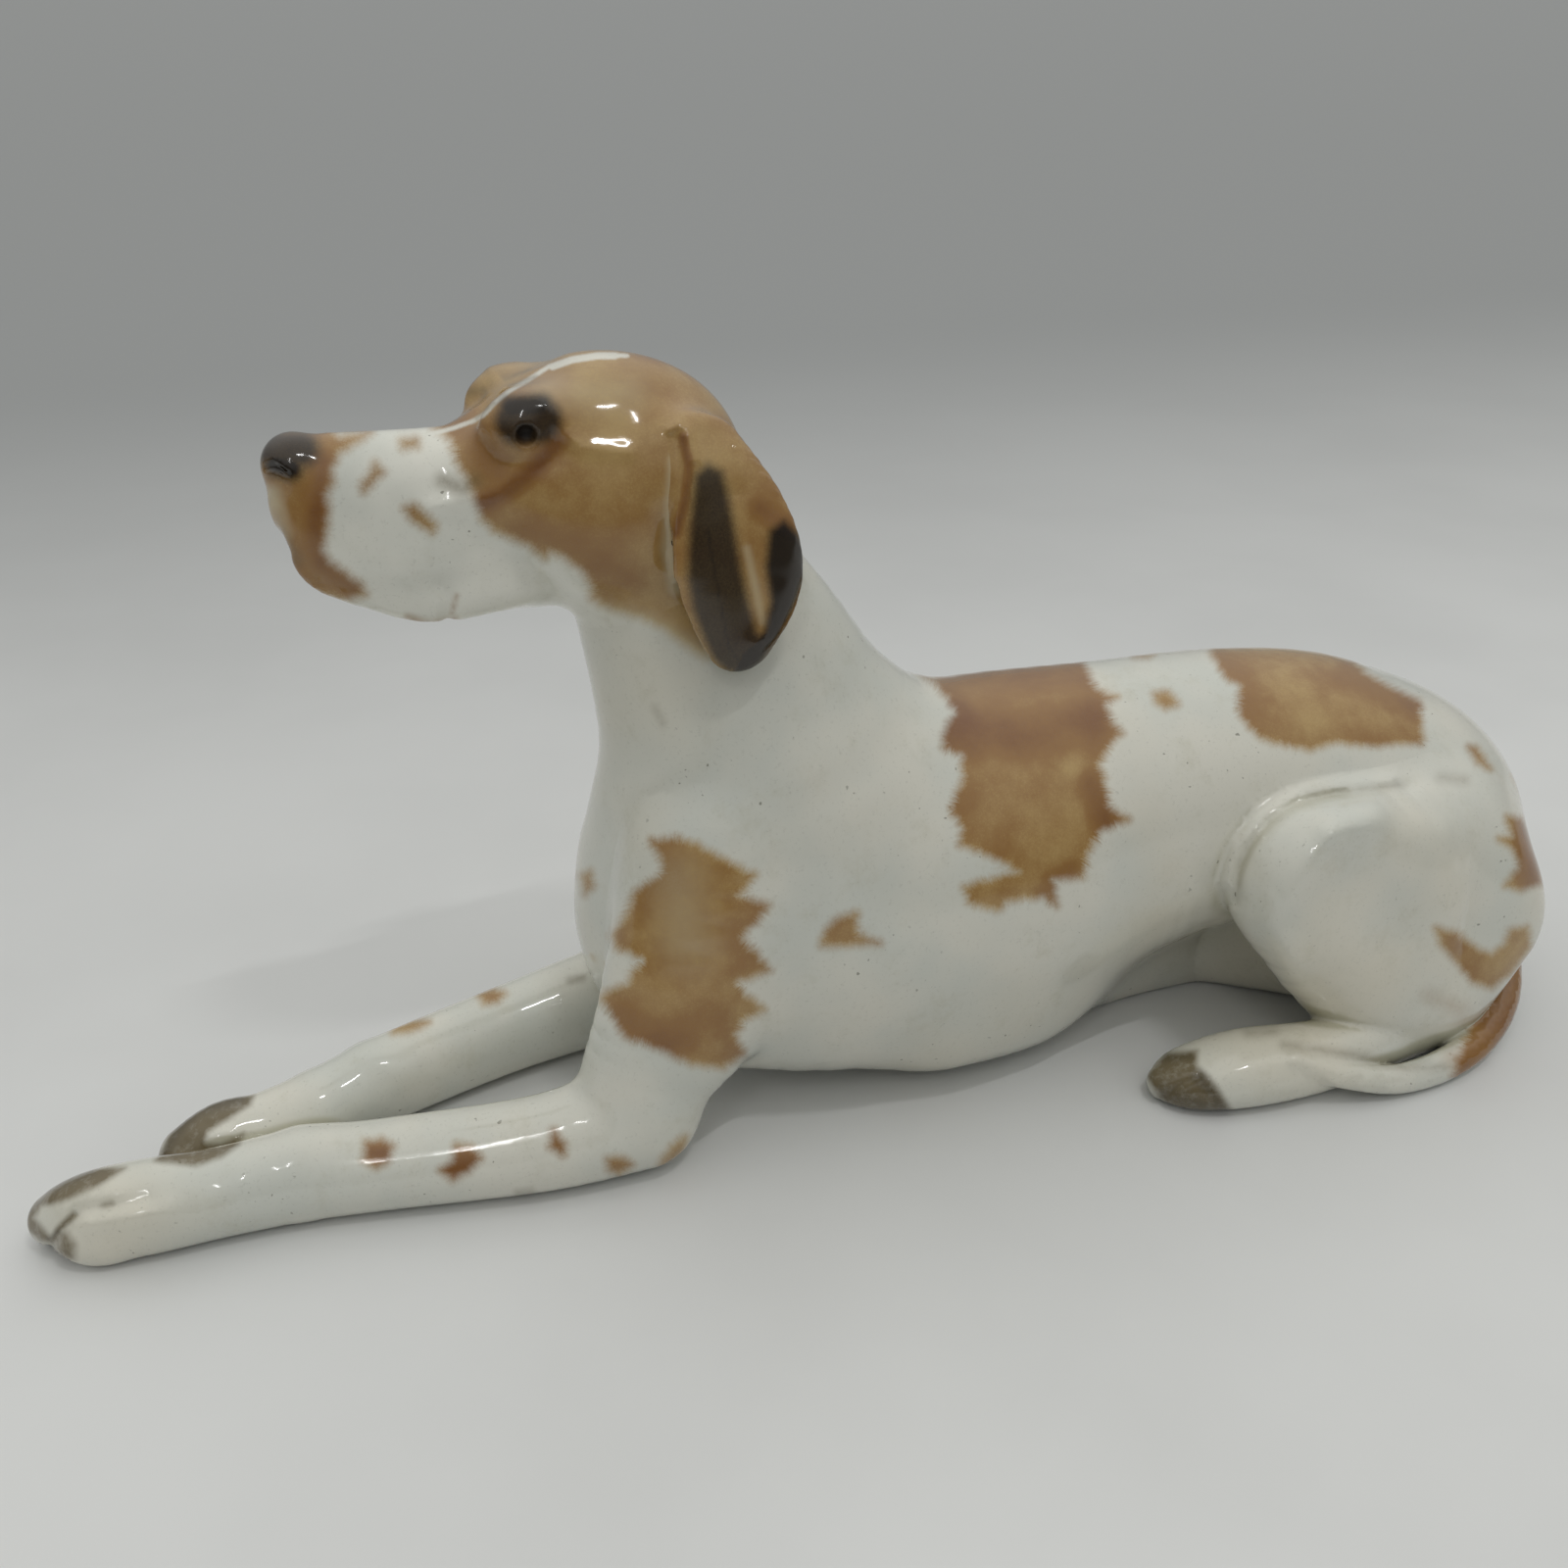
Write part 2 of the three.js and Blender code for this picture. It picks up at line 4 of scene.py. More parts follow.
import bpy
import numpy as np
from mathutils import Euler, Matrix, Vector


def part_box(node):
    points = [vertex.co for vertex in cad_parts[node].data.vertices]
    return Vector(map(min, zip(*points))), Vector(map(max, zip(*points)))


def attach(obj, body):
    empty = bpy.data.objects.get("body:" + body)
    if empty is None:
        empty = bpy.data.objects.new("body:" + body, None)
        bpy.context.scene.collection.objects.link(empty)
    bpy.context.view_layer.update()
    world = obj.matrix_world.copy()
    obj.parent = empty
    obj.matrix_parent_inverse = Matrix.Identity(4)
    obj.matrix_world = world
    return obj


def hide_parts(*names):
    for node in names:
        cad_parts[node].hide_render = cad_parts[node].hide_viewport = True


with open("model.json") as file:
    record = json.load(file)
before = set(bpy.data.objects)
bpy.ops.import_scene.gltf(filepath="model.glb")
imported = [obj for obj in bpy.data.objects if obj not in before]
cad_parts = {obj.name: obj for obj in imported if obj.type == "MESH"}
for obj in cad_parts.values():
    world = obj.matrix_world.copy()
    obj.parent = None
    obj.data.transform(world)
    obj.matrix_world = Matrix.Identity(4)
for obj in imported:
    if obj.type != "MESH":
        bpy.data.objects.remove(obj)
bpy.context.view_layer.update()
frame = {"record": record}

# The form is modelled as the part's source does it: in millimetres, x from the elbows (0) back to the rump,
# y to the dog's right, z up from the table (0). Its finished meshes are moved into the frame, in metres.

MM = 0.001
LEFT, RIGHT, BOTH = -1, 1, 0
CELL = 1.0  # facet length of the skin
SPLITS = 3  # times a lattice cell is halved before it has that length
BATCH = 8000  # points measured at a time
SMALLEST_STRETCH = 90  # facets; a smaller patch of a casting belongs to the ones round it
SPINE_STEPS = 5  # straight stretches from station to station
SMOOTHING_COARSE = 14  # times the normals of a coarse casting are evened out
SMOOTHING_FINE = 4  # and those of a fine one
FELT = 18.0  # beyond this distance no fillet feels a mass
SKIN_LOW = (-116, -62, -6)  # corners of the lattice
SKIN_HIGH = (220, 62, 158)
GENTLEST_SLOPE = 0.25  # least square of a slope that a corner's way to the surface is divided by
GENTLEST_SEAM_SLOPE = 0.2  # and its way to a seam
FARTHEST = 0.45  # of a facet's length, that a corner is moved on to a seam
ALIKE = 0.99  # cosine between two normals, above which there is no crease between them
TABLE_ROUND = 1.2  # the edge where the figure meets the table
VENT_RADIUS = 3.0
VENT_X = 62.0
VENT_DEPTH = 7.0

# Stations of a spine: centre x, y, z, then half the breadth along y and half the depth square to it.
# What both sides share is written for the left one, where y is negative.

TORSO = [
    (33, 0, 38, 27, 33),
    (55, 0, 39, 32, 38),
    (80, 0, 41, 32, 37),
    (106, 0, 45.5, 28, 32),
    (134, 0, 48, 27, 28.6),
    (158, 0, 45, 29, 27),
    (174, 0, 37, 28, 24),
]
KEEL = [
    (70, 0, 17, 24, 17),
    (86, 0, 14, 21, 15.6),
    (98, 0, 13.8, 14.5, 14.4),
    (112, 0, 12, 8.5, 13.5),
    (126, 0, 12, 7, 13),
    (138, 0, 12, 8, 13),
    (148, 0, 12, 17, 14),
    (156, 0, 14, 26, 16.5),
]
NECK = [(17, 0, 120, 14, 16), (21, 0, 106, 15, 18.5), (28.5, 0, 89, 18, 23.5), (36, 0, 68, 23, 29)]
LEFT_UPPER_ARM = [(24, -15, 56, 12, 19), (17, -20, 36, 10.5, 17.5), (7, -21, 20, 9.5, 12.5)]
RIGHT_UPPER_ARM = [(30, 15, 56, 12, 18), (25, 20, 36, 10.5, 16.5), (18, 20.5, 20, 9.5, 12.5)]
LEFT_FOREARM = [
    (5, -22, 11, 9.5, 11), (-13, -22, 8.8, 8.6, 9), (-40, -18, 7.8, 8.2, 8.2), (-56, -15.8, 7.7, 8, 8.4),
]
RIGHT_FOREARM = [
    (16, 20, 11, 9.5, 11), (-12, 15.5, 8.8, 8.6, 9), (-36, 8, 8.2, 7.8, 8.6), (-52, 2.4, 7.4, 7.4, 7.6),
]
LEFT_FOREPAW = [
    (-56, -15.8, 7.7, 8, 8.4),
    (-70, -15.8, 7.4, 7.8, 8),
    (-84, -15.6, 7.4, 8.2, 8.4),
    (-92, -13.6, 6.2, 7.4, 7.4),
    (-98, -10.8, 4.7, 4.8, 4.7),
]
RIGHT_FOREPAW = [
    (-52, 2.4, 7.4, 7.4, 7.6), (-62, 0, 7, 6.8, 7), (-69, -0.8, 6.8, 7, 7.4), (-75.5, -1.4, 5, 6.6, 5.8),
]
THIGH = [(172, -19, 38, 19, 20), (154, -25, 41, 17, 18), (137, -31, 44, 10, 13)]
SHANK = [
    (137, -32, 42, 9.5, 12.5), (151, -34, 24, 10.5, 15.5), (166, -34, 13, 11, 15.5), (181, -28, 24, 14, 15),
]
HIND_FOOT = [
    (162, -38, 6, 6, 6.5), (140, -41, 6.4, 7.2, 7), (124, -39.5, 6, 8.8, 7), (113, -37.6, 4.6, 7.6, 5.4),
    (108, -36.4, 3.6, 4.2, 3.6),
]
TAIL = [
    (199, 4, 36, 5, 5),
    (204, 0, 22, 4.6, 4.6),
    (201, -17, 11, 4.2, 4.2),
    (190, -34, 5.5, 3.8, 3.8),
    (173, -45.5, 3.6, 3.4, 3.4),
    (155, -49.3, 3.2, 3, 3),
    (140, -48, 6.6, 2.7, 2.7),
    (130, -45.6, 10.6, 2, 2),
]
MUZZLE = [(-2, 0, 124.5, 11, 12), (-18, 0, 124.6, 9.6, 11), (-34, 0, 126, 7.6, 10)]
LOWER_JAW = [(8, 0, 114, 9, 9), (-14, 0, 113, 7, 7.5), (-35.6, 0, 116, 5.2, 5.2)]
FLEW = [(-12, -6.5, 115, 4.2, 8), (-22, -6.2, 115.5, 4.2, 9), (-33, -4.4, 120, 3.6, 9)]
EAR = [
    (22, -14.5, 131, 3, 6.4), (25, -18.5, 122, 2.8, 9.4), (26, -21, 113, 2.4, 10.2),
    (25.4, -21.5, 103, 2.1, 5.6),
]

# Rounded masses: centre, half-lengths along x, y and z, and the fillet they run into the rest with.
SKULL = ((8, 0, 128.6), (23, 16, 17), 4)
CHEEK = ((10, -10, 121), (15, 7.5, 12), 6)
BROW = ((-4.5, -8.5, 138.4), (7.6, 4.6, 4.4), 5)
NOSE = ((-39.5, 0, 131.8), (4.8, 5.6, 4.8), 1.6)
RUMP = ((178, 0, 34), (25, 34, 27.4), 10)
BREAST = ((18, 0, 46), (14, 16, 18), 10)
NEAR_TOE_LOBE = ((-89.8, -18.1, 4.9), (6.6, 4.5, 4.8), 2.2)

# Eyes and nostrils. The pupil has only a centre and a radius, the nostril a spine.
EYEBALL = ((-5.0, -10.2, 137.2), (5.0, 3.7, 4.0), 2.6)
SOCKET = ((-5.8, -14.8, 136.8), (6.2, 2.4, 4.6), 3.0)
PUPIL = ((-5.4, -13.2, 137.0), 1.7)
NOSTRIL = [(-43.8, -2.6, 132.4, 0.5, 0.5), (-42.6, -4.3, 133.0, 0.8, 0.8), (-40.6, -5.4, 132.0, 0.4, 0.4)]
FACE_BACK = 12  # all of them lie in front of this x and above this z
FACE_FOOT = 112
LIP_CORNER = -17.0  # behind this x the jaw begins to run into the cheek
EAR_ROOT = 118.0  # above this z the ear begins to run into the skull

# Fillets: how softly each mass runs into the rest.
LEAST_FILLET = 1  # of masses that run on from one another
MUZZLE_FILLET = 7
FLEW_FILLET = 3
LIP_FILLET = 0.8  # between the flews and the lower lip
JAW_FILLET = 7.0  # between the cheek and the root of the jaw
JAW_FILLET_RUN = 20  # the length over which the one becomes the other
HEAD_FILLET = 5
NECK_FILLET = 16
KEEL_FILLET = 12
ELBOW_FILLET = 4
SHOULDER_FILLET = 5
KNEE_FILLET = 14
HAUNCH_FILLET = 3
EAR_FILLETS = (1.0, 9.0)  # where the ear hangs free and where it runs into the skull
EAR_FILLET_RUN = 14  # the height over which the one becomes the other
FOOT_FILLET = 1.4
TAIL_FILLET = 0.9
PUPIL_ROUND = 1.2
NOSTRIL_ROUND = 0.8
VENT_ROUND = 0.8

# Flats of the thigh: a point on each and its facing, and the rounding between them.
THIGH_FLATS = [
    ((141, -41.3, 48), (-0.05, -0.99, 0.12)),
    ((172, -42.5, 40), (0.25, -0.95, 0.15)),
]
FLAT_ROUND = 2.6
FLATS_REACH = 12  # beyond this distance no flat is felt

# Seams between the castings.
LEFT_SHOULDER_SEAM = dict(x=15, z=28, length=54, height=84, start=11)
RIGHT_SHOULDER_SEAM = dict(x=21, z=28, length=54, height=84, start=9)
HAUNCH_SEAM = dict(x=157, z=22, length=93, height=78, start=16)
PLUG_SQUARENESS = 2.8
BREAST_FRONT = -3  # in front of this x the skin is a foreleg's
BREAST_FOOT = (4, 18)  # and in front of this x where it is below this z
HEAD_SEAM = ((20, 0, 109), (-0.42, 0, 0.91))
NECK_SEAM = ((30, 0, 75), (-0.28, 0, 0.96))

# Distance fields: how far points, one in each row, lie outside a mass.


def through(stations):
    """A smooth curve through stations of any number of values each."""
    rows = np.array(stations, float)
    ends = np.vstack([rows[:1], rows, rows[-1:]])
    points = [rows[0]]
    for before, start, end, after in zip(ends, ends[1:], ends[2:], ends[3:]):
        for t in np.arange(1, SPINE_STEPS + 1) / SPINE_STEPS:
            cubic = t * (3 * (start - end) + after - before)
            square = t * (2 * before - 5 * start + 4 * end - after + cubic)
            points.append(start + 0.5 * t * (end - before + square))
    return np.array(points)


def strung(stations):
    """A mass strung on a spine, oval across it."""
    rings = through(stations)
    reach = rings[:, 3:].max()
    low = rings[:, :3].min(axis=0) - reach
    high = rings[:, :3].max(axis=0) + reach
    spans = list(zip(rings.tolist(), np.diff(rings, axis=0).tolist()))

    def field(p):
        value = np.maximum(low - p, p - high).max(axis=1)
        near = value <= min(reach, FELT)
        x, y, z = np.ascontiguousarray(p[near].T, np.float32)
        nearest = np.full(len(x), np.inf, np.float32)
        for (from_x, from_y, from_z, breadth, depth), (way_x, way_y, way_z, wider, deeper) in spans:
            off_x, off_y, off_z = x - from_x, y - from_y, z - from_z
            length = way_x**2 + way_y**2 + way_z**2
            t = off_x * (way_x / length) + off_y * (way_y / length) + off_z * (way_z / length)
            t = np.clip(t, 0, 1)
            off_x -= t * way_x
            off_y -= t * way_y
            off_z -= t * way_z
            aside = off_y * off_y
            along = off_x * off_x + off_z * off_z
            across = np.sqrt(aside / (breadth + t * wider) ** 2 + along / (depth + t * deeper) ** 2)
            gap = (np.sqrt(aside + along) + 1e-3) * (1 - 1 / np.maximum(across, 1e-4))
            np.minimum(nearest, gap, out=nearest)
        value[near] = nearest
        return value

    return field


def rounded(centre, half):
    """An ellipsoid."""
    centre = np.array(centre, float)
    half = np.array(half, float)

    def field(p):
        off = p - centre
        away = np.sqrt((off**2).sum(axis=1))
        across = np.sqrt(((off / half) ** 2).sum(axis=1))
        inner = across < 1e-4
        across[inner] = 1
        return np.where(inner, -half.min(), away - away / across)

    return field


def mirrored(field):
    return lambda p: field(p * (1, -1, 1))


def to_left(p):
    """Points of the right side brought over to the left."""
    return np.column_stack([p[:, 0], -np.abs(p[:, 1]), p[:, 2]])


def blend(a, b, fillet):
    near = np.maximum(fillet - np.abs(a - b), 0)
    return np.minimum(a, b) - near * near / (4 * fillet)


def carve(a, b, fillet):
    """Takes b out of a, with a rounded edge."""
    return -blend(-a, b, fillet)


def joined(*masses):
    """Joins masses in order: each is (field, fillet)."""

    def field(p):
        total = np.full(len(p), 1e3)
        for mass, fillet in masses:
            total = blend(total, mass(p), fillet)
        return total

    return field


def mass_of(form):
    centre, half, fillet = form
    return rounded(centre, half), fillet


def pair(mass, fillet):
    return (mass, fillet), (mirrored(mass), fillet)


def smooth(value):
    """0 below 0 and 1 above 1, with a soft turn between them."""
    t = np.clip(value, 0, 1)
    return t * t * (3 - 2 * t)


# The camera of the photograph. Tooled lines and painted outlines are traced in pixels of the 1600 by 1600
# photograph and carried on to the surface through this camera, so that each lies where the modeller put it.

CAMERA_AT = np.array([-41.0, -249.5, 200.0])
CAMERA_AZIMUTH = math.radians(-18)
CAMERA_PITCH = math.radians(27.5)
PHOTO_SIZE = 1600
FOCAL_PIXELS = 1600
LARGEST_SCALE = 8  # pixels to a millimetre, at the nearest paw

camera_right = np.array([math.cos(CAMERA_AZIMUTH), math.sin(CAMERA_AZIMUTH), 0])
camera_level = np.array([-math.sin(CAMERA_AZIMUTH), math.cos(CAMERA_AZIMUTH), 0])
camera_ahead = camera_level * math.cos(CAMERA_PITCH) - np.array([0, 0, math.sin(CAMERA_PITCH)])
camera_down = np.cross(camera_ahead, camera_right)


def photo_pixels(p):
    """Where points lie in the photograph, and how many pixels a millimetre takes there."""
    off = p - CAMERA_AT
    scale = FOCAL_PIXELS / (off @ camera_ahead)
    return np.column_stack([off @ camera_right * scale, off @ camera_down * scale]) + PHOTO_SIZE / 2, scale


def facing_camera(p, normals):
    return (unit(CAMERA_AT - p) * normals).sum(axis=1)


def outline_distance(q, route, closed=True):
    """The distance of points q to a drawn line, negative outside a closed one; how far along the line the
    nearest place is; and how upright it is there."""
    ends = np.array(route, float)
    starts = np.roll(ends, 1, axis=0) if closed else ends[:-1]
    ends = ends if closed else ends[1:]
    best = np.full(len(q), np.inf)
    along, upright = np.zeros(len(q)), np.zeros(len(q))
    inside = np.zeros(len(q), bool)
    passed = 0
    for start, end in zip(starts, ends):
        way = end - start
        length = max(math.hypot(*way), 1e-6)
        off = q - start
        t = np.clip(off @ way / length**2, 0, 1)
        away = np.hypot(*(off - t[:, None] * way).T)
        nearer = away < best
        best[nearer] = away[nearer]
        along[nearer] = (passed + t * length)[nearer]
        upright[nearer] = abs(way[1]) / length
        passed += length
        if closed:
            straddles = (start[1] > q[:, 1]) != (end[1] > q[:, 1])
            cross = start[0] + (q[:, 1] - start[1]) * way[0] / (way[1] if way[1] else 1)
            inside ^= straddles & (q[:, 0] < cross)
    return (np.where(inside, best, -best) if closed else -best), along, upright


# Lines tooled into the clay, traced in pixels. Those of both sides are traced on the left one.

# The crease over the thigh and the lip of skin above it.
THIGH_CREASE = [(1262, 918), (1263, 896), (1275, 867), (1297, 841), (1322, 823), (1355, 813), (1440, 804)]
THIGH_CREASE_EDGE = [(1262, 922), (1265, 884), (1284, 852), (1308, 826), (1338, 815), (1372, 809)]
SKIN_LIP = [(1250, 900), (1264, 862), (1288, 832), (1318, 812), (1352, 802), (1420, 795)]
# The edges of the facets of the thigh.
THIGH_FRONT_EDGE = [(1400, 832), (1366, 844), (1342, 872), (1316, 916), (1300, 946), (1318, 990)]
THIGH_TOP_EDGE = [(1366, 846), (1420, 836), (1470, 846)]
THIGH_CORNER = [(1350, 846), (1356, 850)]
THIGH_REAR_SWELL = [(1490, 858), (1500, 900), (1490, 960)]
KNEE_HOLLOW = [(1276, 886), (1280, 920)]
THIGH_HOLLOW = [(1400, 910), (1430, 950)]
# Flews and mouth.
LIP_FRONT = [(283, 545), (291, 556), (301, 567), (313, 580), (327, 593)]
LIP_MIDDLE = [(327, 593), (350, 604), (376, 612)]
LIP_CORNER_FOLD = [(449, 598), (460, 610), (456, 628)]
JAW_HOLLOW = [(385, 606), (425, 606), (456, 598), (500, 588), (560, 590)]
FLEW_SWELL = [(380, 585), (420, 575), (460, 560)]
# Cheekbone, brow and the fold under the eye.
CHEEKBONE = [(438, 518), (470, 512), (507, 502), (536, 484), (560, 458)]
UNDER_EYE_FOLD = [(566, 450), (550, 474), (524, 494), (494, 502)]
TEMPLE_EDGE = [(520, 402), (548, 402), (563, 418), (572, 442), (596, 456), (640, 461)]
EYE_CORNER_HOLLOW = [(512, 470), (498, 450), (500, 425)]
# The furrow of the brow.
BROW_FURROW = [(462, 436), (490, 424), (520, 398), (560, 376)]
# The ear: its rolled front edge, the channel down its middle and the fold at its back.
EAR_ROOT_ROLL = [(684, 438), (693, 433), (701, 438), (706, 452), (709, 468)]
EAR_FRONT_ROLL = [(699, 446), (702, 474), (699, 500), (692, 525), (688, 560), (690, 588)]
EAR_FRONT_GROOVE = [(690, 450), (692, 480), (688, 506), (681, 530), (678, 570)]
EAR_FOLD = [(712, 480), (706, 510), (699, 550), (699, 590), (710, 630)]
EAR_SWELL = [(722, 480), (728, 540), (736, 600), (746, 655)]
EAR_CHANNEL = [(752, 505), (762, 560), (774, 605), (782, 640)]
EAR_REAR_FOLD = [(792, 540), (802, 560), (806, 590), (796, 625), (776, 656)]
# The fold of the flank.
FLANK_FOLD = [(1125, 1000), (1180, 978), (1228, 952)]
# Shoulder blade, upper arm and ribs.
SHOULDER_BLADE = [(800, 800), (842, 770), (862, 816), (850, 870)]
UPPER_ARM_HOLLOW = [(800, 880), (812, 940), (800, 1000), (770, 1050)]
UPPER_ARM_SWELL = [(640, 830), (650, 900), (630, 980)]
BREAST_HOLLOW = [(620, 850), (614, 910), (618, 960)]
RIB_HOLLOW = [(1000, 960), (1100, 930), (1180, 890)]
# Toes.
TOE_CLEFT = [(40, 1286), (55, 1268), (66, 1254), (76, 1240)]
TOE_KNUCKLE = [(60, 1226), (86, 1216), (112, 1214)]
PAW_KNUCKLE = [(92, 1250), (130, 1243), (170, 1235)]
TOE_GROOVE = [(82, 1236), (120, 1230), (150, 1222)]
WRIST_SWELL = [(250, 1196), (300, 1172), (330, 1160)]
HIND_TOE_CLEFT = [(1186, 1118), (1204, 1108), (1222, 1100)]
HIND_FOOT_SWELL = [(1222, 1102), (1260, 1092), (1310, 1082)]
FAR_TOE_CLEFT = [(190, 1172), (208, 1150), (232, 1146)]
FAR_TOE_KNUCKLE = [(214, 1160), (232, 1154)]
FAR_WRIST_SWELL = [(368, 1070), (390, 1080), (408, 1092)]

# The side of each line, its route, then half its width and its depth in millimetres. One below 0 is a ridge.
TOOLED = [
    (BOTH, THIGH_CREASE, 1.5, 0.5),
    (BOTH, THIGH_CREASE_EDGE, 1.0, 0.3),
    (BOTH, SKIN_LIP, 1.6, -0.6),
    (BOTH, THIGH_FRONT_EDGE, 3.4, -1.4),
    (BOTH, THIGH_TOP_EDGE, 3.4, -0.5),
    (BOTH, THIGH_CORNER, 2.0, -0.5),
    (BOTH, THIGH_REAR_SWELL, 5, -0.4),
    (BOTH, KNEE_HOLLOW, 2.2, 0.4),
    (BOTH, THIGH_HOLLOW, 8, 0.5),
    (BOTH, LIP_FRONT, 0.8, 0.4),
    (BOTH, LIP_MIDDLE, 0.9, 0.4),
    (BOTH, LIP_CORNER_FOLD, 1.2, 0.6),
    (BOTH, JAW_HOLLOW, 2.8, 0.7),
    (BOTH, FLEW_SWELL, 5, -0.5),
    (BOTH, CHEEKBONE, 1.6, -0.6),
    (BOTH, UNDER_EYE_FOLD, 1.6, 0.35),
    (BOTH, TEMPLE_EDGE, 1.5, -0.55),
    (BOTH, EYE_CORNER_HOLLOW, 2.2, 0.5),
    (BOTH, BROW_FURROW, 3.0, 0.8),
    (BOTH, EAR_ROOT_ROLL, 0.8, -0.5),
    (BOTH, EAR_FRONT_ROLL, 0.8, -0.5),
    (BOTH, EAR_FRONT_GROOVE, 1.3, 0.5),
    (BOTH, EAR_FOLD, 1.1, 0.35),
    (BOTH, EAR_SWELL, 3.4, -0.6),
    (BOTH, EAR_CHANNEL, 1.7, 0.8),
    (BOTH, EAR_REAR_FOLD, 1.9, -0.9),
    (LEFT, FLANK_FOLD, 2.2, 0.3),
    (LEFT, SHOULDER_BLADE, 6, -0.5),
    (LEFT, UPPER_ARM_HOLLOW, 6, 0.7),
    (LEFT, UPPER_ARM_SWELL, 5, -0.5),
    (LEFT, BREAST_HOLLOW, 4, 0.5),
    (LEFT, RIB_HOLLOW, 9, 0.5),
    (LEFT, TOE_CLEFT, 0.9, 0.7),
    (LEFT, TOE_KNUCKLE, 2.4, -0.6),
    (LEFT, PAW_KNUCKLE, 2.2, -0.6),
    (LEFT, TOE_GROOVE, 1.3, 0.5),
    (LEFT, WRIST_SWELL, 4, -0.5),
    (LEFT, HIND_TOE_CLEFT, 0.9, 0.6),
    (LEFT, HIND_FOOT_SWELL, 1.8, -0.4),
    (RIGHT, FAR_TOE_CLEFT, 1.2, 0.5),
    (RIGHT, FAR_TOE_KNUCKLE, 2.0, -0.5),
    (RIGHT, FAR_WRIST_SWELL, 3.2, -0.6),
]
TOOL_REACH = 4.0  # how deep below the surface and above it a line is felt
LINE_REACH = 2.2  # how many half widths to each side
LEFT_TOOLING_EDGE = 2  # lines of the left side stay below this y
RIGHT_TOOLING_EDGES = (20, -7)  # and those of the right foreleg below this x and above this y
TOOLED_LINES = {
    side: [(np.array(route, float), half, depth) for where, route, half, depth in TOOLED if where == side]
    for side in (BOTH, LEFT, RIGHT)
}


def tooled(p, value):
    """The surface with its tooled lines."""
    value = value.copy()
    for side, lines in TOOLED_LINES.items():
        near = np.abs(value) < TOOL_REACH
        if side != BOTH:
            on_left = p[:, 1] < LEFT_TOOLING_EDGE
            on_right = (p[:, 0] < RIGHT_TOOLING_EDGES[0]) & (p[:, 1] > RIGHT_TOOLING_EDGES[1])
            near &= on_left if side == LEFT else on_right
        near = np.nonzero(near)[0]
        q, scale = photo_pixels(to_left(p[near]) if side == BOTH else p[near])
        for route, half, depth in lines:
            margin = LINE_REACH * half * LARGEST_SCALE
            within = ((q > route.min(axis=0) - margin) & (q < route.max(axis=0) + margin)).all(axis=1)
            away, _, _ = outline_distance(q[within], route, closed=False)
            value[near[within]] += depth * np.exp(-((away / scale[within] / half) ** 2))
    return value


upper_head = joined(
    mass_of(SKULL),
    (strung(MUZZLE), MUZZLE_FILLET),
    *pair(strung(FLEW), FLEW_FILLET),
    *pair(*mass_of(CHEEK)),
    *pair(*mass_of(BROW)),
    mass_of(NOSE),
)
lower_jaw = strung(LOWER_JAW)
socket, socket_fillet = mass_of(SOCKET)
eyeball, eyeball_fillet = mass_of(EYEBALL)
nostril = strung(NOSTRIL)


def pupil(p):
    centre, radius = PUPIL
    return np.sqrt(((p - centre) ** 2).sum(axis=1)) - radius


def head(p):
    lip = LIP_FILLET + (JAW_FILLET - LIP_FILLET) * smooth((p[:, 0] - LIP_CORNER) / JAW_FILLET_RUN)
    return blend(upper_head(p), lower_jaw(p), lip)


def face_details(p, value):
    """Eyes and nostrils."""
    near = (p[:, 0] < FACE_BACK) & (p[:, 2] > FACE_FOOT)
    q = to_left(p[near])
    part = carve(value[near], socket(q), socket_fillet)
    part = blend(part, eyeball(q), eyeball_fillet)
    part = carve(part, pupil(q), PUPIL_ROUND)
    part = carve(part, nostril(q), NOSTRIL_ROUND)
    value = value.copy()
    value[near] = part
    return value


def foreleg(upper_arm, forearm, forepaw, *more):
    arm = (strung(upper_arm), LEAST_FILLET), (strung(forearm), ELBOW_FILLET)
    return joined(*arm, (strung(forepaw), LEAST_FILLET), *more)


left_foreleg = foreleg(LEFT_UPPER_ARM, LEFT_FOREARM, LEFT_FOREPAW, mass_of(NEAR_TOE_LOBE))
right_foreleg = foreleg(RIGHT_UPPER_ARM, RIGHT_FOREARM, RIGHT_FOREPAW)
full_haunch = joined((strung(THIGH), LEAST_FILLET), (strung(SHANK), KNEE_FILLET))


def haunch(p):
    """The haunch, pared flat in places."""
    value = full_haunch(p)
    near = value < FLATS_REACH
    part = value[near]
    for at, facing in THIGH_FLATS:
        away = (p[near] - at) @ np.array(facing) / np.linalg.norm(facing)
        part = carve(part, -away, FLAT_ROUND)
    value[near] = part
    return value


trunk = joined(
    (strung(TORSO), LEAST_FILLET),
    mass_of(RUMP),
    mass_of(BREAST),
    (strung(KEEL), KEEL_FILLET),
    (strung(NECK), NECK_FILLET),
)
figure = joined((trunk, LEAST_FILLET), (head, HEAD_FILLET), *pair(haunch, HAUNCH_FILLET))
left_ear, left_hind_foot, tail = strung(EAR), strung(HIND_FOOT), strung(TAIL)


def body(p):
    """The figure with its legs, without what is laid on it."""
    value = face_details(p, figure(p))
    with_left = blend(value, left_foreleg(p), SHOULDER_FILLET)
    with_right = blend(value, right_foreleg(p), SHOULDER_FILLET)
    return blend(with_left, with_right, LEAST_FILLET)


